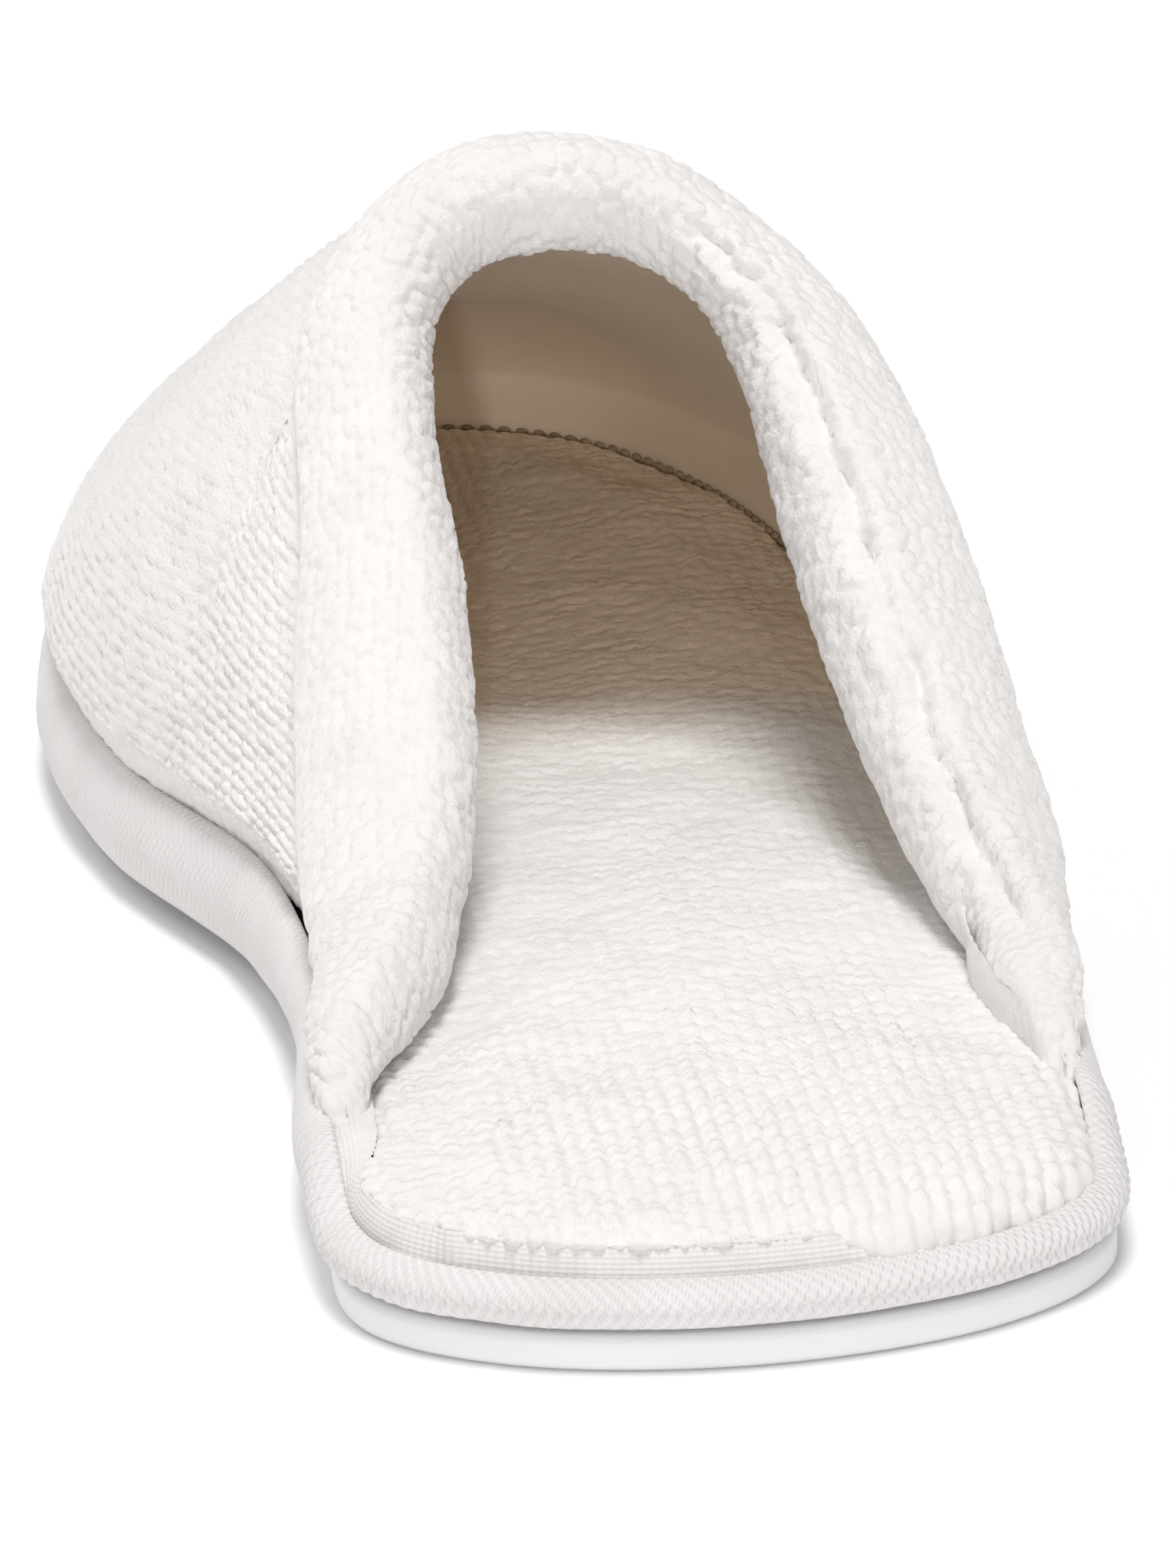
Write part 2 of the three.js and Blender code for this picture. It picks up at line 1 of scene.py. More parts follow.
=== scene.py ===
# %% [markdown]
# # A terry scuff slipper, dressed
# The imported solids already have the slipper's real shape and size. This lesson puts the cloth on
# them: looped terry on the upper, the hem and the insole, a brushed lining, a twill binding tape
# and a white foam sole. Every piece is a mesh worked out from the shoe's own measures, so it sits
# exactly where its solid sits.

# %% Load the frame
import math

import bmesh
import bpy
import numpy as np
from mathutils import Matrix, Vector


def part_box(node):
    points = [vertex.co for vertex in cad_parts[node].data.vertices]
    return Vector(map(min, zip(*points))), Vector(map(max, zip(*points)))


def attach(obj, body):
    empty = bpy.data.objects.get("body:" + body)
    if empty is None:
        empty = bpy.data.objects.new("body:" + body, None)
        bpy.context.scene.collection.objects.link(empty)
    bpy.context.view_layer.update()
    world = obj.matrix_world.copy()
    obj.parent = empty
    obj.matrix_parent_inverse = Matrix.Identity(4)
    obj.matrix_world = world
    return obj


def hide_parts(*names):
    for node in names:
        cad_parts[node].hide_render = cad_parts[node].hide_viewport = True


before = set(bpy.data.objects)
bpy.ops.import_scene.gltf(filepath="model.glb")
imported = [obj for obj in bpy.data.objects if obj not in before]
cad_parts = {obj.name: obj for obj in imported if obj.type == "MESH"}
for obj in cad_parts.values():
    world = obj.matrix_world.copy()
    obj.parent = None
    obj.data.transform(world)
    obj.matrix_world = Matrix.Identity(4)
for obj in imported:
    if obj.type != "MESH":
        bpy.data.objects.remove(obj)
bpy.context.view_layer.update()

print("nodes:", sorted(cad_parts))

# %% [markdown]
# ## The shoe's own sizes
# A slipper maker starts from a few lengths and a pattern: the sole's half widths at shares of the
# length, the height of the crown line, and the line of the opening. They are the same values
# that the solids were cut from, in millimetres, with the heel at zero and the toe at +Y.

# %% Sizes of the slipper
LENGTH = 280.0
BALL_WIDTH = 98.0
HEEL_WIDTH = 78.0
INSTEP_HEIGHT = 73.0
TOE_HEIGHT = 37.0
TOE_ROLL = 28.0

OUTSOLE = 3.5
TAPE = 1.1
CLEARANCE = 0.3
BOARD_EDGE = 1.8
CUSHION_HEIGHT = 6.9
WALL = 3.6
FLANGE = 3.5
TUCK = 3.9
TUCK_HEIGHT = 6.0
HEM = 3.2
HEM_GAP = 0.6
LINING_GAP = 1.0
HEM_WIDTH = 17.0
HEM_INSIDE = 8.0

LOWER_LEG_UNDER = OUTSOLE + CLEARANCE
BOARD_UNDER = LOWER_LEG_UNDER + TAPE + CLEARANCE
BOARD_TOP = BOARD_UNDER + BOARD_EDGE
FLANGE_UNDER = BOARD_TOP + CLEARANCE
FLANGE_TOP = FLANGE_UNDER + FLANGE
HEEL_TAPE_TOP = BOARD_TOP + CLEARANCE + TAPE
FRONT_TAPE_TOP = FLANGE_TOP + CLEARANCE + TAPE
NECK_HEIGHT = FRONT_TAPE_TOP + CLEARANCE

# Share of the length, half width to the medial side and to the lateral side
HEEL_ROWS = [(0.018, 0.3, 0.3), (0.06, 0.465, 0.46), (0.16, 0.497, 0.503), (0.28, 0.46, 0.525)]
BALL_ROWS = [
    (0.41, 0.395, 0.432), (0.53, 0.507, 0.455), (0.65, 0.552, 0.452), (0.77, 0.52, 0.415),
    (0.87, 0.45, 0.345), (0.95, 0.335, 0.225), (0.988, 0.2, 0.09),
]
TOE_TIP = -0.055

# Share of the length, and height of the crown as a share of the instep's
CROWN = np.array([
    (0.12, 0.335), (0.2, 0.34), (0.29, 0.375), (0.375, 0.553), (0.44, 0.75), (0.5, 0.923),
    (0.54, 1.0), (0.59, 0.978), (0.643, 0.887), (0.714, 0.776), (0.77, 0.694),
])
MEDIAL_LEAN = 0.25
LATERAL_LEAN = -0.1
CROWN_SHIFT = 2.5

# The opening's edge: share of the length, and degrees round the arch from the medial rim
OPENING = np.array([
    (0.15, 10), (0.2, 31), (0.29, 42), (0.375, 50), (0.44, 55), (0.5, 60), (0.533, 71),
    (0.54, 90), (0.533, 104), (0.5, 118), (0.44, 124.5), (0.375, 129), (0.29, 140),
    (0.2, 156), (0.14, 170),
])
UPPER_STARTS = OPENING[:, 0].min() * LENGTH
ROLL_STARTS = LENGTH - 2 * TOE_ROLL
MEDIAL, LATERAL = -1, 1
print("instep", INSTEP_HEIGHT, "mm, tape top", FRONT_TAPE_TOP, "mm")

# %% [markdown]
# ## Curves from short tables
# Two kinds of curve are enough for a shoe. A table of rows is read with a smooth cubic between
# its rows. An outline is a centripetal Catmull-Rom curve through its corner points, which never
# loops or overshoots where points lie close together, as they do at the toe.

# %% Curves
def smooth(t):
    t = np.clip(t, 0.0, 1.0)
    return t * t * (3 - 2 * t)


def look_up(table, value):
    """A cubic through the rows of a two-column table."""
    x, y = table[:, 0], table[:, 1]
    value = np.clip(value, x[0], x[-1])
    last = len(x) - 1
    before = np.maximum(np.arange(last + 1) - 1, 0)
    after = np.minimum(np.arange(last + 1) + 1, last)
    slope = (y[after] - y[before]) / (x[after] - x[before])
    i = np.clip(np.searchsorted(x, value, side="left") - 1, 0, last - 1)
    span = x[i + 1] - x[i]
    t = (value - x[i]) / span
    ease = t * t * (3 - 2 * t)
    bend = t * (t - 1)
    return y[i] + (y[i + 1] - y[i]) * ease + bend * span * ((t - 1) * slope[i] + t * slope[i + 1])


def catmull_rom(points, t, closed):
    """Points and tangents of a centripetal Catmull-Rom curve at t from 0 to 1."""
    count = len(points)
    place = np.asarray(t, float) * (count if closed else count - 1)
    i = np.floor(place).astype(int)
    if closed:
        w = place - i
        a, b, c, d = (points[(i + k) % count] for k in (-1, 0, 1, 2))
    else:
        i = np.minimum(i, count - 2)
        w = place - i
        padded = np.vstack([2 * points[0] - points[1], points, 2 * points[-1] - points[-2]])
        a, b, c, d = (padded[i + k] for k in (0, 1, 2, 3))
    step = [np.maximum(np.linalg.norm(q - p, axis=-1) ** 0.5, 1e-4)[..., None]
            for p, q in ((a, b), (b, c), (c, d))]
    m1 = ((b - a) / step[0] - (c - a) / (step[0] + step[1]) + (c - b) / step[1]) * step[1]
    m2 = ((c - b) / step[1] - (d - b) / (step[1] + step[2]) + (d - c) / step[2]) * step[1]
    w = w[..., None]
    c2 = -3 * b + 3 * c - 2 * m1 - m2
    c3 = 2 * b - 2 * c + m1 + m2
    return b + m1 * w + c2 * w ** 2 + c3 * w ** 3, m1 + 2 * c2 * w + 3 * c3 * w ** 2


# %% [markdown]
# ## The sole's outline
# The outline is the outside of the binding. Everything else is placed by how far it lies in
# from there, square to the edge, so rim() gives a point at a distance from the heel, moved in.

# %% Outline of the sole
def outline_sides():
    rows = [(a, m, l, HEEL_WIDTH) for a, m, l in HEEL_ROWS]
    rows += [(a, m, l, BALL_WIDTH) for a, m, l in BALL_ROWS]
    medial = [(-m * w, a * LENGTH) for a, m, l, w in rows]
    lateral = [(l * w, a * LENGTH) for a, m, l, w in reversed(rows)]
    points = np.array([(0.0, 0.0), *medial, (TOE_TIP * BALL_WIDTH, LENGTH), *lateral])
    share = np.linspace(0, 1, 1201)
    sides = {}
    for side, t in ((MEDIAL, share * 0.5), (LATERAL, 1 - share * 0.5)):
        point, tangent = catmull_rom(points, t % 1.0, True)
        normal = np.stack([-tangent[:, 1], tangent[:, 0]], 1)
        sides[side] = point[:, 0], point[:, 1], normal[:, 0], normal[:, 1]
    return sides


OUTLINE = outline_sides()


def rim(side, y, inset):
    """x and y of the outline at y, moved in by inset."""
    px, py, nx, ny = OUTLINE[side]
    x, a, b = (np.interp(y, py, column) for column in (px, nx, ny))
    size = np.hypot(a, b)
    return x - inset * a / size, y - inset * b / size


outline_low = OUTLINE[MEDIAL][0].min()
SHIFT = np.array([1000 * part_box("binding")[0].x - outline_low, -LENGTH / 2, 0.0])
print("the drawing is shifted by", SHIFT.round(2), "mm into the row frame")


# %% [markdown]
# ## The last
# A shoe is shaped over a last. Here each section of the last is an arch that stands on the
# outline: turn runs from 0 at the medial foot over 90 at the crown to 180 at the lateral foot.
# Near the floor the wall is tucked in, because the tape pinches it there, and over the toe the
# arches lean back, which rolls the toe box over.

# %% Surface of the last
def crown_setback(y):
    return TOE_ROLL * np.maximum((y - ROLL_STARTS) / (LENGTH - ROLL_STARTS), 0) ** 2


def crown_height(y):
    along = (y - crown_setback(y)) / LENGTH
    t = (along - CROWN[-1, 0]) / (1 - TOE_ROLL / LENGTH - CROWN[-1, 0])
    start = INSTEP_HEIGHT * CROWN[-1, 1]
    over_toe = start + (TOE_HEIGHT - start) * (1.6 * t - 0.6 * t * t)
    return np.where(along <= CROWN[-1, 0], INSTEP_HEIGHT * look_up(CROWN, along), over_toe)


def last_point(y, turn, depth=0.0):
    """Points of the last, or of the surface that lies depth inside it."""
    y, turn = np.broadcast_arrays(np.asarray(y, float), np.asarray(turn, float))
    angle = np.radians(turn)
    height = FLANGE_TOP + (crown_height(y) - depth - FLANGE_TOP) * np.sin(angle)
    tuck = TUCK * (1 - smooth((height - NECK_HEIGHT) / TUCK_HEIGHT))
    medial = turn <= 90
    mx, my = rim(MEDIAL, y, tuck + depth)
    lx, ly = rim(LATERAL, y, tuck + depth)
    foot_x, foot_y = np.where(medial, mx, lx), np.where(medial, my, ly)
    at_toe = smooth((y - LENGTH + 25.0) / 25.0)
    lean = np.where(medial, MEDIAL_LEAN, LATERAL_LEAN + (MEDIAL_LEAN - LATERAL_LEAN) * at_toe)
    out =np.abs(np.cos(angle)) * (1 - lean * np.sin(angle) ** 2)
    middle = (rim(MEDIAL, y, 0)[0] + rim(LATERAL, y, 0)[0]) / 2
    crown_x = middle + CROWN_SHIFT * (1 - smooth(y / LENGTH))
    crown_y = y - crown_setback(y)
    return np.stack([crown_x + (foot_x - crown_x) * out,
                     crown_y + (foot_y - crown_y) * out, height], -1)


def unit(v):
    return v / np.maximum(np.linalg.norm(v, axis=-1, keepdims=True), 1e-9)


def last_frame(y, turn):
    """Points, the two directions on the surface, and outward normals."""
    d = 0.4
    along_y = (last_point(y + d, turn) - last_point(y - d, turn)) / (2 * d)
    along_turn = (last_point(y, turn + d) - last_point(y, turn - d)) / (2 * d)
    return last_point(y, turn), along_y, along_turn, unit(np.cross(along_turn, along_y))


def opening_edge(share):
    """y and turn of the opening's edge, from 0 at its medial foot to 1 at its lateral foot."""
    place, _ = catmull_rom(OPENING * (200.0, 1.0), share, False)
    return place[..., 0] / 200 * LENGTH, place[..., 1]


print("throat at", opening_edge(np.array([0.5])))


# %% [markdown]
# ## From points to meshes
# Each piece is a grid of points. grid_faces() joins neighbouring points with quads, and piece()
# turns them into a smooth-shaded Blender mesh in metres, in the row frame. A UV map in
# millimetres is kept with it, so that a weave can follow the cloth.

# %% Mesh helpers
def grid_faces(rows, columns, wrap_rows=False, wrap_columns=False):
    r = np.arange(rows if wrap_rows else rows - 1)
    c = np.arange(columns if wrap_columns else columns - 1)
    r, c = np.meshgrid(r, c, indexing="ij")
    r2, c2 = (r + 1) % rows, (c + 1) % columns
    quads = [r * columns + c, r * columns + c2, r2 * columns + c2, r2 * columns + c]
    return np.stack(quads, -1).reshape(-1, 4)


def piece(name, points, faces, uv=None):
    """A mesh object from points in millimetres of the drawing, and faces of one size."""
    points = (np.asarray(points).reshape(-1, 3) + SHIFT) * 0.001
    faces = np.asarray(faces, np.int32)
    mesh = bpy.data.meshes.new(name)
    mesh.vertices.add(len(points))
    mesh.vertices.foreach_set("co", points.ravel())
    mesh.loops.add(faces.size)
    mesh.loops.foreach_set("vertex_index", faces.ravel())
    mesh.polygons.add(len(faces))
    mesh.polygons.foreach_set("loop_start", np.arange(len(faces), dtype=np.int32) * faces.shape[1])
    mesh.polygons.foreach_set("use_smooth", np.ones(len(faces), bool))
    mesh.update(calc_edges=True)
    mesh.validate()
    if uv is not None:
        layer = mesh.uv_layers.new(name="cloth_mm")
        layer.data.foreach_set("uv", np.asarray(uv, np.float32).reshape(-1, 2)[faces.ravel()].ravel())
    made = bpy.data.objects.new(name, mesh)
    bpy.context.scene.collection.objects.link(made)
    triangles = len(faces) * (faces.shape[1] - 2)
    print(f"{name}: {len(points)} points, {triangles} triangles")
    return made


def weld(made):
    """Joins points that lie on each other, such as the two ends of a ring."""
    work = bmesh.new()
    work.from_mesh(made.data)
    bmesh.ops.remove_doubles(work, verts=work.verts, dist=2e-6)
    work.to_mesh(made.data)
    work.free()
    return made


def surface_lengths(points):
    """Millimetres walked along the rows and along the columns of a grid of points."""
    down = np.linalg.norm(np.diff(points, axis=0), axis=-1)
    across = np.linalg.norm(np.diff(points, axis=1), axis=-1)
    rows, columns = points.shape[:2]
    u, v = np.zeros((rows, columns)), np.zeros((rows, columns))
    u[1:] = np.cumsum(down, 0)
    v[:, 1:] = np.cumsum(across, 1)
    return u, v


# %% [markdown]
# ## Terry loops
# Terry cloth is covered with small loops of yarn that stand in rows. Seen close, each loop is a
# rounded bead of about a millimetre. They are made as real relief: every cell of a jittered
# grid holds one bead with its own place, size and height, and a point of the cloth is raised by
# the highest bead near it.

# %% Relief of the terry loops
dice = np.random.default_rng(17)
CHANCE = dice.random((4, 256, 256))


def loops(u, v, pitch_u, pitch_v, jitter=(0.3, 0.3), layer=0):
    """Height from 0 to 1 of a field of loops in rows along u, in millimetres of cloth."""
    a, b = np.asarray(u) / pitch_u, np.asarray(v) / pitch_v
    b0 = np.floor(b).astype(int)
    best = np.zeros(a.shape)
    for db in (-1, 0, 1):
        row = b0 + db
        shifted = a + 0.5 * (row % 2)
        a0 = np.floor(shifted).astype(int)
        for da in (-1, 0, 1):
            cell = a0 + da
            i, j = (row + 31 * layer) % 256, (cell + 57 * layer) % 256
            centre_a = cell + 0.5 + jitter[0] * (CHANCE[0, i, j] - 0.5) * 2
            centre_b = row + 0.5 + jitter[1] * (CHANCE[1, i, j] - 0.5) * 2
            size = 0.62 + 0.22 * (CHANCE[2, i, j] - 0.5)
            away = ((shifted - centre_a) ** 2 + (b - centre_b) ** 2) / size ** 2
            bead = smooth(1.25 * np.clip(1 - away, 0, 1)) * (0.6 + 0.4 * CHANCE[3, i, j])
            best = np.maximum(best, bead)
    return best


def waves(u, v, size, layer=0):
    """Smooth random lumps from -1 to 1, about size millimetres across."""
    a, b = np.asarray(u) / size + 7.3 * layer, np.asarray(v) / size + 3.1 * layer
    i, j = np.floor(a).astype(int), np.floor(b).astype(int)
    s, t = smooth(a - i), smooth(b - j)
    at = lambda p, q: CHANCE[layer % 4, (i + p) % 256, (j + q) % 256]
    low = at(0, 0) * (1 - s) + at(1, 0) * s
    high = at(0, 1) * (1 - s) + at(1, 1) * s
    return 2 * (low * (1 - t) + high * t) - 1


print("a loop field of", CHANCE.shape[1], "by", CHANCE.shape[2], "cells")

# %% [markdown]
# ## Finishes
# Cotton terry is almost white, quite matt, and glows a little at its edges because light passes
# through the loops: that is a rough surface with sheen. Colour differs slightly from place to
# place. The tape is the same cotton, woven tight as a twill, so its threads show as fine
# diagonal ridges. The sole is smooth foam with a soft gloss.

# %% Materials
def new_material(name, colour, roughness, sheen=0.0, sheen_tint=(1, 1, 1, 1)):
    material = bpy.data.materials.new(name)
    material.use_nodes = True
    shader = material.node_tree.nodes["Principled BSDF"]
    shader.inputs["Base Color"].default_value = (*colour, 1)
    shader.inputs["Roughness"].default_value = roughness
    shader.inputs["Sheen Weight"].default_value = sheen
    shader.inputs["Sheen Roughness"].default_value = 0.5
    shader.inputs["Sheen Tint"].default_value = sheen_tint
    shader.inputs["Specular IOR Level"].default_value = 0.25
    return material, material.node_tree.nodes, material.node_tree.links, shader


def cloth_coordinates(nodes):
    uv = nodes.new("ShaderNodeUVMap")
    uv.uv_map = "cloth_mm"
    return uv.outputs["UV"]


def mottled(nodes, links, where, pale, deep, scale):
    """A colour that drifts between two near shades."""
    noise = nodes.new("ShaderNodeTexNoise")
    noise.inputs["Scale"].default_value = scale
    noise.inputs["Detail"].default_value = 3
    links.new(where, noise.inputs["Vector"])
    ramp = nodes.new("ShaderNodeValToRGB")
    ramp.color_ramp.elements[0].position = 0.3
    ramp.color_ramp.elements[1].position = 0.7
    ramp.color_ramp.elements[0].color = (*deep, 1)
    ramp.color_ramp.elements[1].color = (*pale, 1)
    links.new(noise.outputs["Fac"], ramp.inputs["Fac"])
    return ramp.outputs["Color"]


def bump(nodes, links, shader, height, strength, distance):
    node = nodes.new("ShaderNodeBump")
    node.inputs["Strength"].default_value = strength
    node.inputs["Distance"].default_value = distance
    links.new(height, node.inputs["Height"])
    links.new(node.outputs["Normal"], shader.inputs["Normal"])


def terry_material(name, pale, deep):
    material, nodes, links, shader = new_material(name, pale, 0.95, 0.35)
    where = cloth_coordinates(nodes)
    links.new(mottled(nodes, links, where, pale, deep, 0.12), shader.inputs["Base Color"])
    yarn = nodes.new("ShaderNodeTexNoise")
    yarn.inputs["Scale"].default_value = 2.2
    yarn.inputs["Detail"].default_value = 4
    links.new(where, yarn.inputs["Vector"])
    bump(nodes, links, shader, yarn.outputs["Fac"], 0.5, 0.0004)
    return material


TERRY_WHITE = terry_material("terry_white", (0.825, 0.80, 0.785), (0.79, 0.76, 0.74))
INSOLE_TERRY = terry_material("insole_terry", (0.85, 0.83, 0.81), (0.81, 0.785, 0.765))


def painted_shade_towards_toe(material):
    """Towards the toe, under the upper, the insole's terry is tinted tan: painted shade for the dim
    inside of the upper.
    """
    nodes, links = material.node_tree.nodes, material.node_tree.links
    shader = nodes["Principled BSDF"]
    white = shader.inputs["Base Color"].links[0].from_socket
    split = nodes.new("ShaderNodeSeparateXYZ")
    links.new(nodes.new("ShaderNodeTexCoord").outputs["Object"], split.inputs["Vector"])
    along = nodes.new("ShaderNodeMapRange")
    along.interpolation_type = "SMOOTHSTEP"
    along.inputs["From Min"].default_value = 0.000
    along.inputs["From Max"].default_value = 0.030
    links.new(split.outputs["Y"], along.inputs["Value"])
    mix = nodes.new("ShaderNodeMix")
    mix.data_type = "RGBA"
    # Painted shade: the tan that the insole turns to under the upper.
    mix.inputs["B"].default_value = (0.94, 0.79, 0.61, 1)
    links.new(along.outputs["Result"], mix.inputs["Factor"])
    links.new(white, mix.inputs["A"])
    links.new(mix.outputs["Result"], shader.inputs["Base Color"])


painted_shade_towards_toe(INSOLE_TERRY)


def lining_material():
    # The lining's tan is partly painted shade: it is deepened to the warm tone of the shaded inside of
    # the upper.
    material, nodes, links, shader = new_material("brushed_lining", (0.86, 0.755, 0.61), 0.9, 0.2)
    where = cloth_coordinates(nodes)
    links.new(mottled(nodes, links, where, (0.88, 0.735, 0.565), (0.85, 0.705, 0.53), 0.05),
              shader.inputs["Base Color"])
    nap = nodes.new("ShaderNodeTexNoise")
    nap.inputs["Scale"].default_value = 1.6
    nap.inputs["Detail"].default_value = 5
    links.new(where, nap.inputs["Vector"])
    bump(nodes, links, shader, nap.outputs["Fac"], 0.25, 0.0003)
    return material


BRUSHED_LINING = lining_material()


def foam_material():
    material, nodes, links, shader = new_material("sole_foam", (0.9, 0.9, 0.905), 0.45)
    where = nodes.new("ShaderNodeTexCoord").outputs["Object"]
    links.new(mottled(nodes, links, where, (0.90, 0.90, 0.905), (0.87, 0.87, 0.875), 60),
              shader.inputs["Base Color"])
    cells = nodes.new("ShaderNodeTexNoise")
    cells.inputs["Scale"].default_value = 900
    links.new(where, cells.inputs["Vector"])
    bump(nodes, links, shader, cells.outputs["Fac"], 0.12, 0.0002)
    return material


SOLE_FOAM = foam_material()


def ridges(nodes, links, where, degrees, pitch, distortion=0.0):
    """Fine ridges across a cloth in millimetres; a band texture repeats every 0.314 / scale."""
    turned = nodes.new("ShaderNodeMapping")
    turned.inputs["Rotation"].default_value = (0, 0, math.radians(degrees))
    links.new(where, turned.inputs["Vector"])
    rows = nodes.new("ShaderNodeTexWave")
    rows.inputs["Scale"].default_value = 0.314 / pitch
    rows.inputs["Distortion"].default_value = distortion
    rows.inputs["Detail"].default_value = 2
    links.new(turned.outputs["Vector"], rows.inputs["Vector"])
    return rows.outputs["Fac"]


def mixed(nodes, links, factor, a, b):
    mix = nodes.new("ShaderNodeMix")
    for socket, value in ((mix.inputs["Factor"], factor), (mix.inputs["A"], a), (mix.inputs["B"], b)):
        if isinstance(value, float):
            socket.default_value = value
        else:
            links.new(value, socket)
    return mix.outputs["Result"]


def twill_material():
    """Herringbone: the ridges lean one way on the lower half of the tape, and back above."""
    material, nodes, links, shader = new_material("twill_tape", (0.86, 0.83, 0.8), 0.8, 0.15)
    where = cloth_coordinates(nodes)
    links.new(mottled(nodes, links, where, (0.80, 0.775, 0.77), (0.755, 0.725, 0.715), 0.08),
              shader.inputs["Base Color"])
    split = nodes.new("ShaderNodeSeparateXYZ")
    links.new(where, split.inputs["Vector"])
    half = nodes.new("ShaderNodeMapRange")
    half.inputs["From Min"].default_value = 9.3
    half.inputs["From Max"].default_value = 9.7
    links.new(split.outputs["Y"], half.inputs["Value"])
    lower = ridges(nodes, links, where, 32, 0.95, 0.6)
    upper = ridges(nodes, links, where, -32, 0.95, 0.6)
    twill = mixed(nodes, links, half.outputs["Result"], lower, upper)
    threads = ridges(nodes, links, where, 4, 0.62, 0.8)
    bump(nodes, links, shader, mixed(nodes, links, 0.35, twill, threads), 0.7, 0.0003)
    return material


TWILL_TAPE = twill_material()


def base_cloth_material():
    material, nodes, links, shader = new_material("base_cloth", (0.86, 0.81, 0.79), 0.9, 0.1)
    where = cloth_coordinates(nodes)
    links.new(mottled(nodes, links, where, (0.82, 0.785, 0.77), (0.775, 0.73, 0.71), 0.35),
              shader.inputs["Base Color"])
    across = ridges(nodes, links, where, 90, 0.5, 0.5)
    bump(nodes, links, shader, across, 0.3, 0.0002)
    return material


BASE_CLOTH = base_cloth_material()
print("materials:", [m.name for m in bpy.data.materials])

# %% [markdown]
# ## The foam sole
# The sole is a sheet of white foam, cut a little smaller than the binding, with a softly
# rounded edge. Loops of points round its outline make the edge, and each face is closed with
# rows that run to the middle line.

# %% Sole
HALF_LOOP = 240


def station_y(count=HALF_LOOP):
    k = np.arange(count + 1)
    return LENGTH / 2 * (1 - np.cos(np.pi * k / count))


def loop_round(inset, height, count=HALF_LOOP):
    """A loop of points round the sole, heel to toe on the medial side and back."""
    y = station_y(count)
    halves = []
    for side in (MEDIAL, LATERAL):
        here, up = (value(y, side) if callable(value) else value for value in (inset, height))
        x, yy = rim(side, y, here)
        halves.append(np.stack([x, yy, np.broadcast_to(up, y.shape)], 1))
    return np.vstack([halves[0], halves[1][-2:0:-1]])


def spine_loop(height, count=HALF_LOOP):
    y = 0.14 * LENGTH + 0.68 * station_y(count)
    x = (rim(MEDIAL, y, 0)[0] + rim(LATERAL, y, 0)[0]) / 2
    line = np.stack([x, y, np.full_like(x, height)], 1)
    return np.vstack([line, line[-2:0:-1]])


def between(a, b, steps):
    """Rows of points from one loop to another, without the first."""
    return [a + (b - a) * s for s in np.linspace(0, 1, steps + 1)[1:]]


def sole_edge(y):
    return 1.0 + 5.0 * smooth((y - 14.0) / 62.0)


def make_sole():
    edge = 0.9
    rows = [spine_loop(0.0)]
    rows += between(rows[0], loop_round(lambda y, side: sole_edge(y) + edge, 0.0), 6)
    for angle in np.radians([30, 60, 90]):
        rows.append(loop_round(lambda y, side: sole_edge(y) + edge * (1 - np.sin(angle)),
                               edge * (1 - np.cos(angle))))
    for angle in np.radians([0, 30, 60, 90]):
        rows.append(loop_round(lambda y, side: sole_edge(y) + edge * (1 - np.cos(angle)),
                               OUTSOLE - edge * (1 - np.sin(angle))))
    rows += between(rows[-1], spine_loop(OUTSOLE), 6)
    grid = np.stack(rows)
    return piece("foam_sole", grid, grid_faces(len(rows), grid.shape[1], wrap_columns=True)[:, ::-1])


foam_sole = make_sole()
foam_sole.data.materials.append(SOLE_FOAM)
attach(foam_sole, "root")
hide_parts("outsole")


# %% [markdown]
# ## The binding tape
# A folded tape grips the edge all round. At the heel it holds only the board, so it lies low.
# Where the upper is sewn in, it is thicker and hangs over the foam.

# %% Binding
FRONT_FROM = UPPER_STARTS - 14.0
FRONT_TO = UPPER_STARTS - TAPE


def front_share(y):
    return smooth((y - FRONT_FROM) / (FRONT_TO - FRONT_FROM))


def tape_top(y):
    return HEEL_TAPE_TOP + (FRONT_TAPE_TOP - HEEL_TAPE_TOP) * front_share(y)


def tape_low(y):
    return LOWER_LEG_UNDER - 2.0 * smooth((y - 76.0) / 35.0)


def raised(y, side):
    """From the arch forward the tape's inner edge is pushed up against the wall."""
    return 1.0 * smooth((y - 88.0) / 30.0)


def ring(rows, count):
    """Loops as a grid that starts and ends at the toe, where the tape's two ends are joined."""
    grid = np.roll(np.stack(rows), -count, axis=1)
    return np.concatenate([grid, grid[:, :1]], 1)


def pulled(u, v, y, side_sign):
    """Folds that the tape throws where it is pulled round the two corners of the heel."""
    corner = np.exp(-((y - 27.0) / 17.0) ** 2)
    lines = np.sin(2 * np.pi * (u * side_sign + 0.8 * v) / 2.1 + 2.0 * waves(u, v, 9.0, 3))
    return 0.16 * corner * lines + 0.14 * waves(u, v, 7.0, 1)


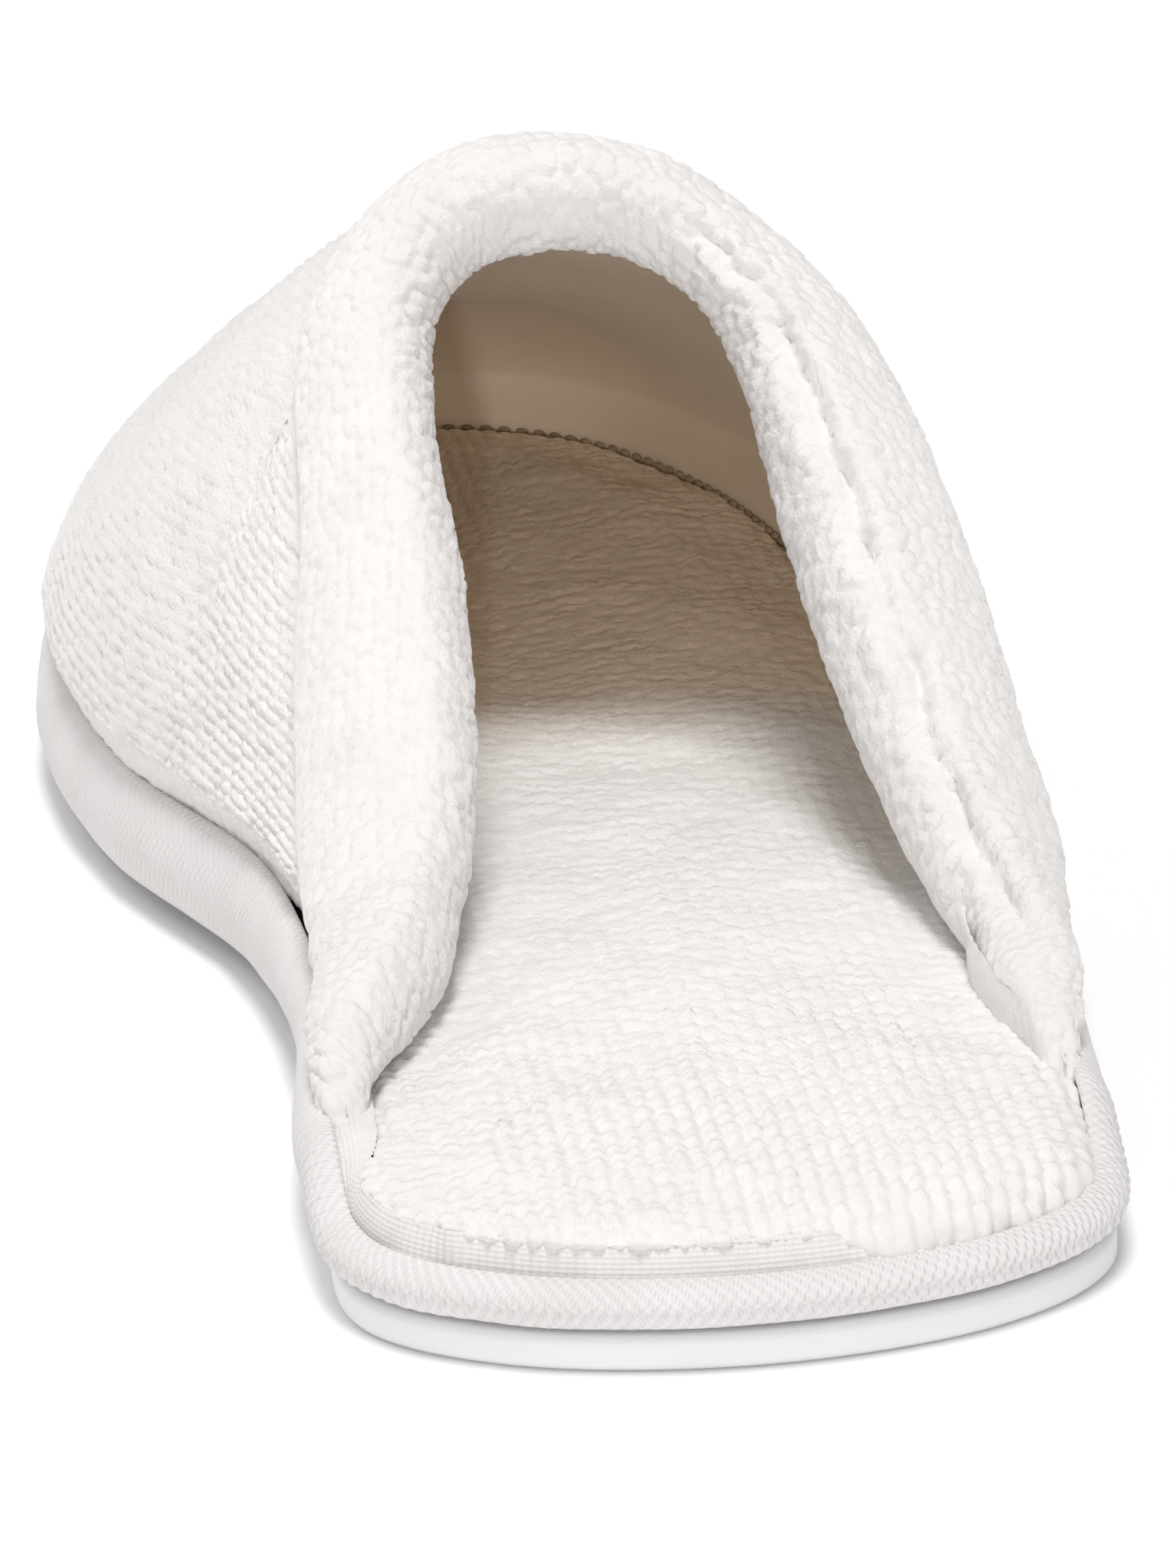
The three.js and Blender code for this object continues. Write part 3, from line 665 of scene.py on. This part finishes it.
def make_tape():
    count, arc_steps = 760, 26
    rows = []

    def add(inset, height):
        rows.append(loop_round(inset, height, count))

    for inset in (8.0, 7.0, 6.0):
        add(inset, LOWER_LEG_UNDER)
    for i in range(arc_steps + 1):
        angle = math.pi * (i / arc_steps - 0.5)
        add(3.0 * (1 - math.cos(angle)),
            lambda y, side: (tape_top(y) + tape_low(y)) / 2
            + (tape_top(y) - tape_low(y)) / 2 * math.sin(angle)
            + raised(y, side) * max(math.sin(angle), 0) ** 3)
    add(3.4, lambda y, side: tape_top(y) + raised(y, side))
    add(3.5, lambda y, side: tape_top(y) - 0.5 + raised(y, side))
    add(3.4, lambda y, side: tape_top(y) - TAPE)
    for inset in (2.6, 1.4):
        add(inset, lambda y, side: tape_top(y) - TAPE)
    add(1.4, LOWER_LEG_UNDER + TAPE)
    add(8.0, LOWER_LEG_UNDER + TAPE)
    grid = ring(rows, count)
    v, _ = surface_lengths(grid)
    u = np.broadcast_to(surface_lengths(grid[16:17])[1], v.shape)
    out_of = unit(np.cross(np.gradient(grid, axis=1), np.gradient(grid, axis=0)))
    seen = np.clip(1 - np.abs(np.arange(len(rows)) - 17) / 13, 0, 1)[:, None] ** 0.5
    side_sign = np.where(np.arange(grid.shape[1]) > count, 1.0, -1.0)[None, :]
    grid = grid - out_of * (pulled(u, v, grid[..., 1], side_sign) * seen)[..., None]
    faces = grid_faces(len(rows), grid.shape[1], wrap_rows=True)
    return weld(piece("binding_tape", grid, faces[:, ::-1], np.stack([u, v], -1)))


binding_tape = make_tape()
binding_tape.data.materials.append(TWILL_TAPE)
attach(binding_tape, "root")
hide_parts("binding")


# %% [markdown]
# ## The insole
# The insole is a board with a foam pad, covered in terry. The pad is highest in the middle and
# falls steeply to the tape. Its loops stand in columns along the foot.

# %% Insole
def strip_share(y, side):
    """1 where the pad's side shows its base cloth: round the heel and up the medial side."""
    ends, run = (50.0, 7.0) if side == MEDIAL else (0.2, 1.4)
    return 1 - smooth((y - ends) / run)


def cushion_start(y, side):
    """How far in from the binding the pad's terry begins."""
    heel = 3.5 + 1.0 * strip_share(y, side)
    thin = 0.35 + 0.65 * smooth((y - UPPER_STARTS) / 30.0)
    front = TUCK + WALL * thin + (1.8 if side == MEDIAL else 0.3) * (1 - smooth((y - 45.0) / 15.0))
    behind_wall = front_share(y) if side == MEDIAL else smooth((y - UPPER_STARTS + 2.0) / 12.0)
    return heel + (front + 0.3 - heel) * behind_wall


def terry_foot(y, side):
    """Height at which the terry begins."""
    raised = np.maximum(strip_share(y, side), smooth((y - 28.0) / 10.0))
    return BOARD_TOP + 0.6 + 3.3 * raised


def make_insole():
    count = 560
    rows = [spine_loop(LOWER_LEG_UNDER, count)]
    rows += between(rows[0], loop_round(8.3, LOWER_LEG_UNDER, count), 2)
    rows.append(loop_round(8.3, BOARD_UNDER, count))
    rows.append(loop_round(1.7, BOARD_UNDER, count))
    rows.append(loop_round(1.7, BOARD_TOP, count))
    rows.append(loop_round(lambda y, side: cushion_start(y, side) + 0.6, BOARD_TOP, count))
    rows.append(loop_round(lambda y, side: cushion_start(y, side) + 0.6, terry_foot, count))
    first = len(rows)
    shoulder = BOARD_TOP + 0.81 * CUSHION_HEIGHT
    for share in np.linspace(0, 1, 15):
        a = share * math.pi / 2
        rows.append(loop_round(
            lambda y, side: cushion_start(y, side) + 6.0 * (1 - math.cos(a)),
            lambda y, side: terry_foot(y, side) + (shoulder - terry_foot(y, side)) * math.sin(a),
            count))
    inner = loop_round(lambda y, side: cushion_start(y, side) + 12.0,
                       BOARD_TOP + 0.94 * CUSHION_HEIGHT, count)
    rows += between(rows[-1], inner, 10)
    rows += between(inner, spine_loop(BOARD_TOP + CUSHION_HEIGHT, count), 44)
    grid = np.stack(rows)
    x, y = grid[..., 0].copy(), grid[..., 1].copy()
    out_of = unit(np.cross(np.gradient(grid, axis=0), np.gradient(grid, axis=1)))
    flat = np.clip((np.arange(len(rows)) - first - 12) / 6, 0, 1)[:, None, None]
    out_of = out_of * (1 - flat) + np.array([0, 0, 1.0]) * flat
    at_heel = 1 - smooth((y - 20.0) / 70.0)
    tufts = loops(y, x, 1.8, 1.9, (0.34, 0.14)) * (0.36 + 0.3 * at_heel)
    furrows = -0.15 * (0.4 + at_heel) * np.cos(2 * np.pi * x / 1.9) * (0.5 + 0.5 * waves(x, y, 11.0, 2))
    relief = tufts + furrows + 0.3 * waves(x, y, 9.0) - 0.2
    shown = np.clip((np.arange(len(rows)) - first + 1) / 2, 0, 1)[:, None]
    grid = grid + out_of * (relief * shown)[..., None]
    faces = grid_faces(len(rows), grid.shape[1], wrap_columns=True)
    return piece("terry_insole", grid, faces[:, ::-1], np.stack([x, y], -1))


terry_insole = make_insole()
terry_insole.data.materials.append(INSOLE_TERRY)
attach(terry_insole, "root")
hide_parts("footbed")


# %% [markdown]
# ## The ribbed strip round the pad
# Terry has no loops at its selvedge. Round the heel and up the medial side the pad's cover shows
# a few millimetres of this plain base cloth, with fine ribs that stand square to the edge.

# %% Ribbed strip
def make_strip():
    count = 1800
    y = station_y(count)
    up_medial, up_lateral = np.searchsorted(y, 57.0), np.searchsorted(y, 4.0)
    picked = np.arange(-up_lateral, up_medial + 1)
    rows = []
    for t in np.linspace(0, 1, 16):
        rows.append(loop_round(
            lambda y, side: 3.5 + (cushion_start(y, side) + 0.2 - 3.5) * t ** 0.8,
            lambda y, side: tape_top(y) - 0.9
            + (np.maximum(terry_foot(y, side) + 0.5 - tape_top(y), 0) + 0.9) * t,
            count)[picked])
    grid = np.stack(rows)
    v, _ = surface_lengths(grid)
    u = np.broadcast_to(surface_lengths(grid[8:9])[1], v.shape)
    ribs = 0.11 * np.sin(2 * np.pi * u / 0.85) * (0.65 + 0.35 * waves(u, v, 6.0, 2))
    t = np.linspace(0, 1, 16)[:, None]
    fold = 0.8 * np.exp(-((grid[..., 0] + 27.0) / 1.1) ** 2) * t
    out_of = unit(np.cross(np.gradient(grid, axis=1), np.gradient(grid, axis=0)))
    grid = grid - out_of * (ribs + fold + 0.35 * np.sin(np.pi * t) + 0.2 * waves(u, v, 5.0, 1))[..., None]
    faces = grid_faces(len(rows), grid.shape[1])
    return piece("ribbed_strip", grid, faces[:, ::-1], np.stack([u, v], -1))


ribbed_strip = make_strip()
ribbed_strip.data.materials.append(BASE_CLOTH)
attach(ribbed_strip, "root")
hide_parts("footbed")


# %% [markdown]
# ## The upper
# The upper is one padded wall: terry outside, brushed lining inside. Columns of points climb
# from the foot of the wall to the opening's edge, and in front of the throat to the crown.

# %% Upper
def walk(y, turn, away, distance):
    """Places reached by walking over the last in a direction."""
    steps = 6
    for _ in range(steps):
        _, ay, at, _ = last_frame(y, turn)
        yy, yt, tt = (np.sum(p * q, -1) for p, q in ((ay, ay), (ay, at), (at, at)))
        dy, dt = np.sum(away * ay, -1), np.sum(away * at, -1)
        det = yy * tt - yt * yt
        sy, st = (dy * tt - dt * yt) / det, (dt * yy - dy * yt) / det
        size = np.linalg.norm(ay * sy[..., None] + at * st[..., None], axis=-1)
        y, turn = y + sy * distance / steps / size, turn + st * distance / steps / size
    return y, turn


def long_edge(share):
    """The opening's edge, carried on straight for a little past its two feet."""
    y, turn = opening_edge(np.clip(share, 0, 1))
    for end, sign in ((0.0, 1), (1.0, -1)):
        y0, t0 = opening_edge(np.array(end))
        y1, t1 = opening_edge(np.array(end + 0.01 * sign))
        past = np.maximum((end - share) * sign, 0) / 0.01
        y, turn = y - (y1 - y0) * past, turn - (t1 - t0) * past
    return y, turn


def edge_frames(share):
    """Along the opening's edge: share, y, turn, point, normal, and the way down over the wall."""
    y, turn = long_edge(share)
    point, _, _, normal = last_frame(y, turn)
    d = 0.002
    y0, t0 = long_edge(share - d)
    y1, t1 = long_edge(share + d)
    edge = unit(last_point(y1, t1) - last_point(y0, t0))
    return share, y, turn, point, normal, unit(np.cross(normal, edge))


def thinned(share):
    """How much of the wall's thickness is left near the two feet of the opening."""
    return 0.3 + 0.7 * smooth(np.minimum(share, 1 - share) / 0.1)


def upper_places(side, stations, steps):
    """y and turn of a grid over one side of the upper, from its feet to its top."""
    throat_y = float(opening_edge(np.array(0.5))[0])
    throat_foot = throat_y - 18.0
    back = float(opening_edge(np.array(0.0 if side == MEDIAL else 1.0))[0])
    behind = int(stations * 0.47)
    share = np.arange(behind) / behind
    edge_share = share / 2 if side == MEDIAL else 1 - share / 2
    _, top_y, top_turn, _, _, away = edge_frames(edge_share)
    hidden = 4.0 * smooth(np.minimum(share, 1 - share) / 0.16)
    top_y, top_turn = walk(top_y, top_turn, away, hidden)
    foot_y = back + (throat_foot - back) * share
    ahead = np.sin(np.pi / 2 * np.arange(stations - behind) / (stations - behind - 1))
    foot_y = np.concatenate([foot_y, throat_foot + (LENGTH - throat_foot) * ahead])
    top_y = np.concatenate([top_y, throat_y + (LENGTH - throat_y) * ahead])
    top_turn = np.concatenate([top_turn, np.full(len(ahead), 90.0)])
    neck = np.degrees(np.arcsin((NECK_HEIGHT - FLANGE_TOP) / (crown_height(foot_y) - FLANGE_TOP)))
    start = neck if side == MEDIAL else 180 - neck
    t = np.linspace(0, 1, steps)[None, :]
    y = foot_y[:, None] + (top_y - foot_y)[:, None] * t
    turn = start[:, None] + (top_turn - start)[:, None] * t
    return y, turn


def inside_of(y, turn, point, normal, depth):
    """The same places on a surface that lies depth inside."""
    plain = point - depth * normal
    rolled = last_point(y, turn, WALL)
    share = smooth((y - ROLL_STARTS + 15.0) / 30.0)[..., None]
    return plain + (rolled - plain) * share


def make_upper_side(side, name):
    stations, steps = 440, 205
    y, turn = upper_places(side, stations, steps)
    point, _, _, normal = last_frame(y, turn)
    u, v = surface_lengths(point)
    around = v if side == MEDIAL else v + 400.0
    rows = -0.07 * np.cos(2 * np.pi * around / 1.5)
    relief = 0.36 * loops(y, around, 1.6, 1.5, (0.4, 0.16)) + rows + 0.25 * waves(y, around, 8.0, 1)
    at_crown = (1 - smooth((v[:, -1:] - v) / 14.0)) * (np.abs(turn[:, -1:] - 90) < 0.01)
    shared = np.maximum(at_crown, smooth((y[:, :1] - LENGTH + 12.0) / 12.0))
    common = 0.36 * loops(point[..., 1], point[..., 0], 1.6, 1.5, (0.4, 0.16))
    common = common + 0.25 * waves(point[..., 1], point[..., 0], 8.0, 1)
    relief = relief + (common - relief) * shared
    sunk = 0.3 + (0.45 if side == MEDIAL else 0.0) * (1 - shared)
    foot =np.exp(-((np.arange(steps) / 7.0) ** 2)) * smooth((y[:, :1] - 88.0) / 30.0)
    point = point + normal * (relief - sunk + 0.9 * foot)[..., None]
    point[..., 2] -= 0.8 * foot
    faces = grid_faces(stations, steps)
    if side == LATERAL:
        faces = faces[:, ::-1]
    return piece(name, point, faces, np.stack([y, around], -1))


for side, name in ((MEDIAL, "upper_medial"), (LATERAL, "upper_lateral")):
    made = make_upper_side(side, name)
    made.data.materials.append(TERRY_WHITE)
    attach(made, "root")
    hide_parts("upper")


def make_lining():
    grids = []
    for side in (MEDIAL, LATERAL):
        y, turn = upper_places(side, 180, 70)
        point, _, _, normal = last_frame(y, turn)
        from_back = np.arange(len(y)) / len(y) / 0.94
        depth = WALL * thinned(np.minimum(from_back, 0.5))
        inner = inside_of(y, turn, point, normal, depth[:, None, None])
        x, yy = rim(side, y[:, 0], TUCK + depth)
        foot = np.stack([x, yy, np.full_like(x, FLANGE_UNDER)], 1)
        grids.append(np.concatenate([foot[:, None], inner], 1)[3:])
    shape = grids[0].shape[:2]
    faces = grid_faces(*shape)
    faces = np.concatenate([faces[:, ::-1], faces + shape[0] * shape[1]])
    uv = [np.stack(surface_lengths(grid), -1) for grid in grids]
    return weld(piece("lining", np.stack(grids), faces, np.stack(uv)))


lining = make_lining()
lining.data.materials.append(BRUSHED_LINING)
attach(lining, "root")
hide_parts("upper")

# %% [markdown]
# ## Stitches inside the upper
# Where the lining meets the covered insole, a row of small knots shows; their dark brown is painted shade
# for the recess of the seam. Each one is a short bead that lies along the seam, half sunk into the
# terry's edge.

# %% Junction stitches
def painted_shade_thread_material():
    # The thread's brown is painted shade of the seam's recess, not the colour of the stitches.
    material, nodes, links, shader = new_material("seam_thread_painted_shade", (0.46, 0.34, 0.24), 0.8, 0.1)
    where = nodes.new("ShaderNodeTexCoord").outputs["Object"]
    links.new(mottled(nodes, links, where, (0.42, 0.31, 0.21), (0.31, 0.22, 0.14), 400),
              shader.inputs["Base Color"])
    return material


def make_junction_stitches():
    spacing, half_length, half_width = 2.3, 0.85, 0.42
    line = loop_round(lambda y, side: cushion_start(y, side) + 0.15, 11.85, 1500)
    line = line[line[:, 1] > 80.0]
    walked = np.concatenate([[0], np.cumsum(np.linalg.norm(np.diff(line, axis=0), axis=1))])
    places = np.arange(1.0, walked[-1] - 1.0, spacing)
    centre, ahead = (np.stack([np.interp(places + d, walked, line[:, k]) for k in range(3)], 1)
                     for d in (0.0, 0.2))
    along = unit(ahead - centre)[:, None, None]
    up = np.array([0, 0, 1.0])
    aside = np.cross(along, up)
    end = np.radians(np.linspace(-90, 90, 7))[None, :, None, None]
    turn = np.radians(np.arange(0, 360, 45))[None, None, :, None]
    knots = (centre[:, None, None] + along * half_length * np.sin(end)
             + (aside * np.cos(turn) + up * np.sin(turn)) * half_width * np.cos(end))
    one = grid_faces(7, 8, wrap_columns=True)
    faces = np.concatenate([one + 56 * k for k in range(len(places))])
    return weld(piece("junction_stitches", knots, faces))


junction_stitches = make_junction_stitches()
junction_stitches.data.materials.append(painted_shade_thread_material())
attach(junction_stitches, "root")

# %% [markdown]
# ## The hem
# The opening is finished with a thick padded fold of terry. It is worked out by walking over the
# last at right angles to the opening's edge, so it keeps its width on the curved wall.

# %% Hem
# Share of the edge; width, padding outside and padding inside as shares of the hem's sizes
HEM_ROLL = np.array([
    (0, 0.4, 0.35, 0.15), (0.05, 0.47, 0.75, 0.3), (0.12, 0.68, 1, 0.5), (0.18, 0.9, 1, 0.78),
    (0.25, 0.86, 1, 0.87), (0.3, 0.66, 0.85, 0.87), (0.35, 0.53, 0.72, 1.35),
    (0.41, 0.48, 0.55, 1.2), (0.46, 0.47, 0.95, 1.05), (0.5, 0.47, 1.1, 0.9),
    (0.56, 0.49, 1, 0.75), (0.61, 0.56, 0.5, 0.7), (0.66, 0.7, 0.95, 1),
    (0.71, 0.8, 1.4, 1.45), (0.78, 0.85, 1.45, 1.35), (0.85, 0.78, 0.95, 1.2),
    (0.9, 0.66, 0.75, 0.85), (0.95, 0.55, 0.55, 0.45), (1, 0.4, 0.3, 0.15),
])
PAST_FEET = 0.007

# Where a stitched furrow runs along the hem's lateral half, in degrees round its nose
FURROW = np.array([
    (0.58, 52), (0.63, 40), (0.68, 47), (0.73, 46), (0.78, 34), (0.83, 45), (0.88, 62), (0.93, 74),
])


def over(frames, distance, lift):
    share, y, turn, point, normal, away = frames
    yy, tt = walk(y, turn, away, distance)
    p, _, _, n = last_frame(yy, tt)
    return p + n * np.asarray(lift)[..., None]


def fitting(frames, width, lift, floor):
    fits = np.array(width, float)
    for _ in range(60):
        low = (over(frames, fits, lift)[:, 2] < floor) & (fits > 0.6)
        if not low.any():
            break
        fits[low] -= 0.3
    kernel = np.ones(31) / 31
    return np.convolve(np.pad(fits, 15, mode="edge"), kernel, "valid")


def hem_section(frames):
    """The padding's skin from its outer foot over the nose to its inner foot, and its pocket."""
    share, y, turn, point, normal, away = frames
    column = lambda k: look_up(HEM_ROLL[:, [0, k]], share)
    outside, inside = HEM * column(2), HEM * column(3)
    wall = (WALL + LINING_GAP) * thinned(share)
    outer = fitting(frames, HEM_WIDTH * column(1), HEM_GAP + outside, FRONT_TAPE_TOP - 0.6)
    near_foot = 1 - smooth(np.minimum(share, 1 - share) / 0.2)
    inner = fitting(frames, np.full(len(share), HEM_INSIDE), -wall - inside,
                    BOARD_TOP + CUSHION_HEIGHT - 1.5 - 3.0 * near_foot)
    padding, pocket = [], []
    for s in np.linspace(1, 0.03, OUTER_STEPS):
        swell = np.sqrt(np.clip(1 - max(s - 0.35, 0) ** 2 / 0.65 ** 2, 0, 1))
        padding.append(over(frames, s * outer, HEM_GAP + outside * swell))
    middle, half = (HEM_GAP + outside - wall - inside) / 2, (HEM_GAP + outside + wall + inside) / 2
    for angle in np.linspace(0, np.pi, NOSE_STEPS):
        reach = middle + half * np.cos(angle)
        depth = (HEM_GAP + (outside + inside) / 2) * np.sin(angle)
        padding.append(point + normal * reach[:, None] - away * depth[:, None])
    for s in np.linspace(0.06, 1, 20):
        swell = np.sqrt(np.clip(1 - max(s - 0.3, 0) ** 2 / 0.7 ** 2, 0, 1))
        padding.append(over(frames, s * inner, -wall - inside * swell))
    for s in (1, 0.66, 0.33):
        pocket.append(over(frames, s * inner, -wall))
    for s in (0.33, 0.66, 1):
        pocket.append(over(frames, s * outer, np.full(len(share), HEM_GAP)))
    return np.stack(padding, 1), np.stack(pocket, 1)


OUTER_STEPS, NOSE_STEPS = 44, 34


def furrow_depth(share, v):
    """How deep the stitched furrow is, and how near to it a point lies."""
    at = OUTER_STEPS + (NOSE_STEPS - 1) * look_up(FURROW, share) / 180
    low = np.floor(at).astype(int)
    row = np.arange(len(share))
    centre = v[row, low] + (v[row, low + 1] - v[row, low]) * (at - low)
    u = share * 330.0
    centre = centre + 0.9 * waves(u, 0 * u, 6.0, 3)
    deep = smooth((share - 0.575) / 0.06) * (1 - smooth((share - 0.88) / 0.05))
    near = np.exp(-((v - centre[:, None]) / 1.25) ** 2)
    rough = np.exp(-((v - centre[:, None]) / 4.0) ** 2)
    depth = 1.9 * (1 + 0.45 * waves(u, 0 * u, 3.5, 1))
    return (near * (deep * depth)[:, None]), rough * deep[:, None]


def make_hem():
    stations = 860
    share = np.linspace(-PAST_FEET, 1 + PAST_FEET, stations)
    pad, pocket = hem_section(edge_frames(share))
    u, v = surface_lengths(pad)
    u = np.broadcast_to(u.mean(1, keepdims=True), u.shape)
    out_of = unit(np.cross(np.gradient(pad, axis=1), np.gradient(pad, axis=0)))
    place = np.arange(pad.shape[1])
    fade = np.clip(np.minimum(place, pad.shape[1] - 1 - place) / 6, 0, 1)
    furrow, rough = furrow_depth(share, v)
    beads = loops(u, v, 1.7, 1.6, (0.38, 0.34), 1)
    lumps = waves(u, v, 4.2, 2) + 0.7 * waves(u, v, 10.0, 3)
    relief = (0.44 + 0.35 * rough) * beads + (0.22 + 0.3 * rough) * lumps - 0.2 - furrow
    past_nose = smooth((place - (OUTER_STEPS + NOSE_STEPS - 10)) / 6)
    calm = 1 - 0.75 * past_nose[None, :] * smooth((share - 0.76) / 0.08)[:, None]
    pad = pad + out_of * (relief * fade * calm)[..., None]
    grid = np.concatenate([pad, pocket], 1)
    centre = grid.mean(1, keepdims=True)
    to_end = np.minimum(np.arange(stations), stations - 1 - np.arange(stations))[:, None, None]
    close = np.sqrt(1 - (1 - np.clip(to_end / 11, 0, 1)) ** 2)
    sink = (1 - np.clip(to_end / 28, 0, 1)) ** 1.5
    grid = centre + (grid - centre) * close + np.array([0, 0, -4.2]) * sink
    flat = np.zeros(pocket.shape[:2])
    uv = np.stack([np.concatenate([u, flat], 1), np.concatenate([v, flat], 1)], -1)
    faces = grid_faces(stations, grid.shape[1], wrap_columns=True)
    return weld(piece("hem_roll", grid, faces, uv))


hem_roll = make_hem()
hem_roll.data.materials.append(TERRY_WHITE)
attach(hem_roll, "root")
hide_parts("collar_hem")

# %% [markdown]
# ## Floor, light and camera
# The slipper was photographed on a white table under a large soft light from above.

# %% Stage
def make_floor():
    size = 4.0
    mesh = bpy.data.meshes.new("studio_floor")
    mesh.from_pydata([(-size, -size, 0), (size, -size, 0), (size, size, 0), (-size, size, 0)], [],
                     [(0, 1, 2, 3)])
    made = bpy.data.objects.new("studio_floor", mesh)
    bpy.context.scene.collection.objects.link(made)
    material, nodes, links, shader = new_material("studio_white", (0.95, 0.95, 0.95), 0.7)
    made.data.materials.append(material)
    return made


studio_floor = make_floor()


def soft_light(name, place, aim, size, power, colour=(1, 1, 1)):
    data = bpy.data.lights.new(name, "AREA")
    data.shape = "RECTANGLE"
    data.size, data.size_y = size
    data.energy = power
    data.color = colour
    made = bpy.data.objects.new(name, data)
    bpy.context.scene.collection.objects.link(made)
    direction = Vector(aim) - Vector(place)
    made.location = place
    made.rotation_euler = direction.to_track_quat("-Z", "Y").to_euler()
    return made


def overhead_light():
    """A wide even light from above, so that the floor stays pale far from the shoe as well."""
    data = bpy.data.lights.new("overhead_light", "SUN")
    data.energy = 1.9
    data.angle = math.radians(20.0)
    made = bpy.data.objects.new("overhead_light", data)
    bpy.context.scene.collection.objects.link(made)
    made.rotation_euler = Vector((0.0, 0.08, -1.2)).to_track_quat("-Z", "Y").to_euler()


overhead_light()
soft_light("back_left_softbox", (-0.9, 1.1, 1.0), (0, 0, 0), (0.8, 0.8), 5.5)
soft_light("low_front_softbox", (-0.17, -1.5, 0.34), (0, 0.05, 0.03), (0.9, 0.34), 5.5)


def opening_lamp():
    """A narrow lamp behind the camera that shines through the opening to the lining."""
    data = bpy.data.lights.new("opening_lamp", "SPOT")
    data.energy = 66.0
    data.shadow_soft_size = 0.045
    data.spot_size = math.radians(1.8)
    data.spot_blend = 0.8
    made = bpy.data.objects.new("opening_lamp", data)
    bpy.context.scene.collection.objects.link(made)
    made.location = (-0.17, -1.5, 0.33)
    direction = Vector((0.010, 0.011, 0.041)) - made.location
    made.rotation_euler = direction.to_track_quat("-Z", "Y").to_euler()


opening_lamp()
world = bpy.data.worlds.new("studio")
bpy.context.scene.world = world
world.use_nodes = True
world.node_tree.nodes["Background"].inputs["Color"].default_value = (1, 1, 1, 1)
world.node_tree.nodes["Background"].inputs["Strength"].default_value = 0.4
bpy.context.scene.view_settings.view_transform = "Standard"

# %% Camera
YAW, PITCH, ROLL = 0.10783, 0.32356, -0.04108
CAMERA_AT = np.array([-99.901, -792.107, 324.961])
LENS_PIXELS = 12018.3


def make_camera():
    forward = np.array([math.sin(YAW) * math.cos(PITCH), math.cos(YAW) * math.cos(PITCH),
                        -math.sin(PITCH)])
    right = np.array([math.cos(YAW), -math.sin(YAW), 0.0])
    up = np.cross(right, forward)
    r2 = math.cos(ROLL) * right + math.sin(ROLL) * up
    u2 = -math.sin(ROLL) * right + math.cos(ROLL) * up
    data = bpy.data.cameras.new("photo_camera")
    data.sensor_fit = "VERTICAL"
    data.sensor_height = 36.0
    data.lens = 36.0 * LENS_PIXELS / 2000.0
    data.clip_start, data.clip_end = 0.01, 50.0
    made = bpy.data.objects.new("photo_camera", data)
    bpy.context.scene.collection.objects.link(made)
    place = (CAMERA_AT + SHIFT) * 0.001
    made.matrix_world = Matrix([
        [r2[0], u2[0], -forward[0], place[0]],
        [r2[1], u2[1], -forward[1], place[1]],
        [r2[2], u2[2], -forward[2], place[2]],
        [0, 0, 0, 1],
    ])
    return made


bpy.context.scene.camera = make_camera()
print("lens", round(bpy.context.scene.camera.data.lens, 1), "mm")
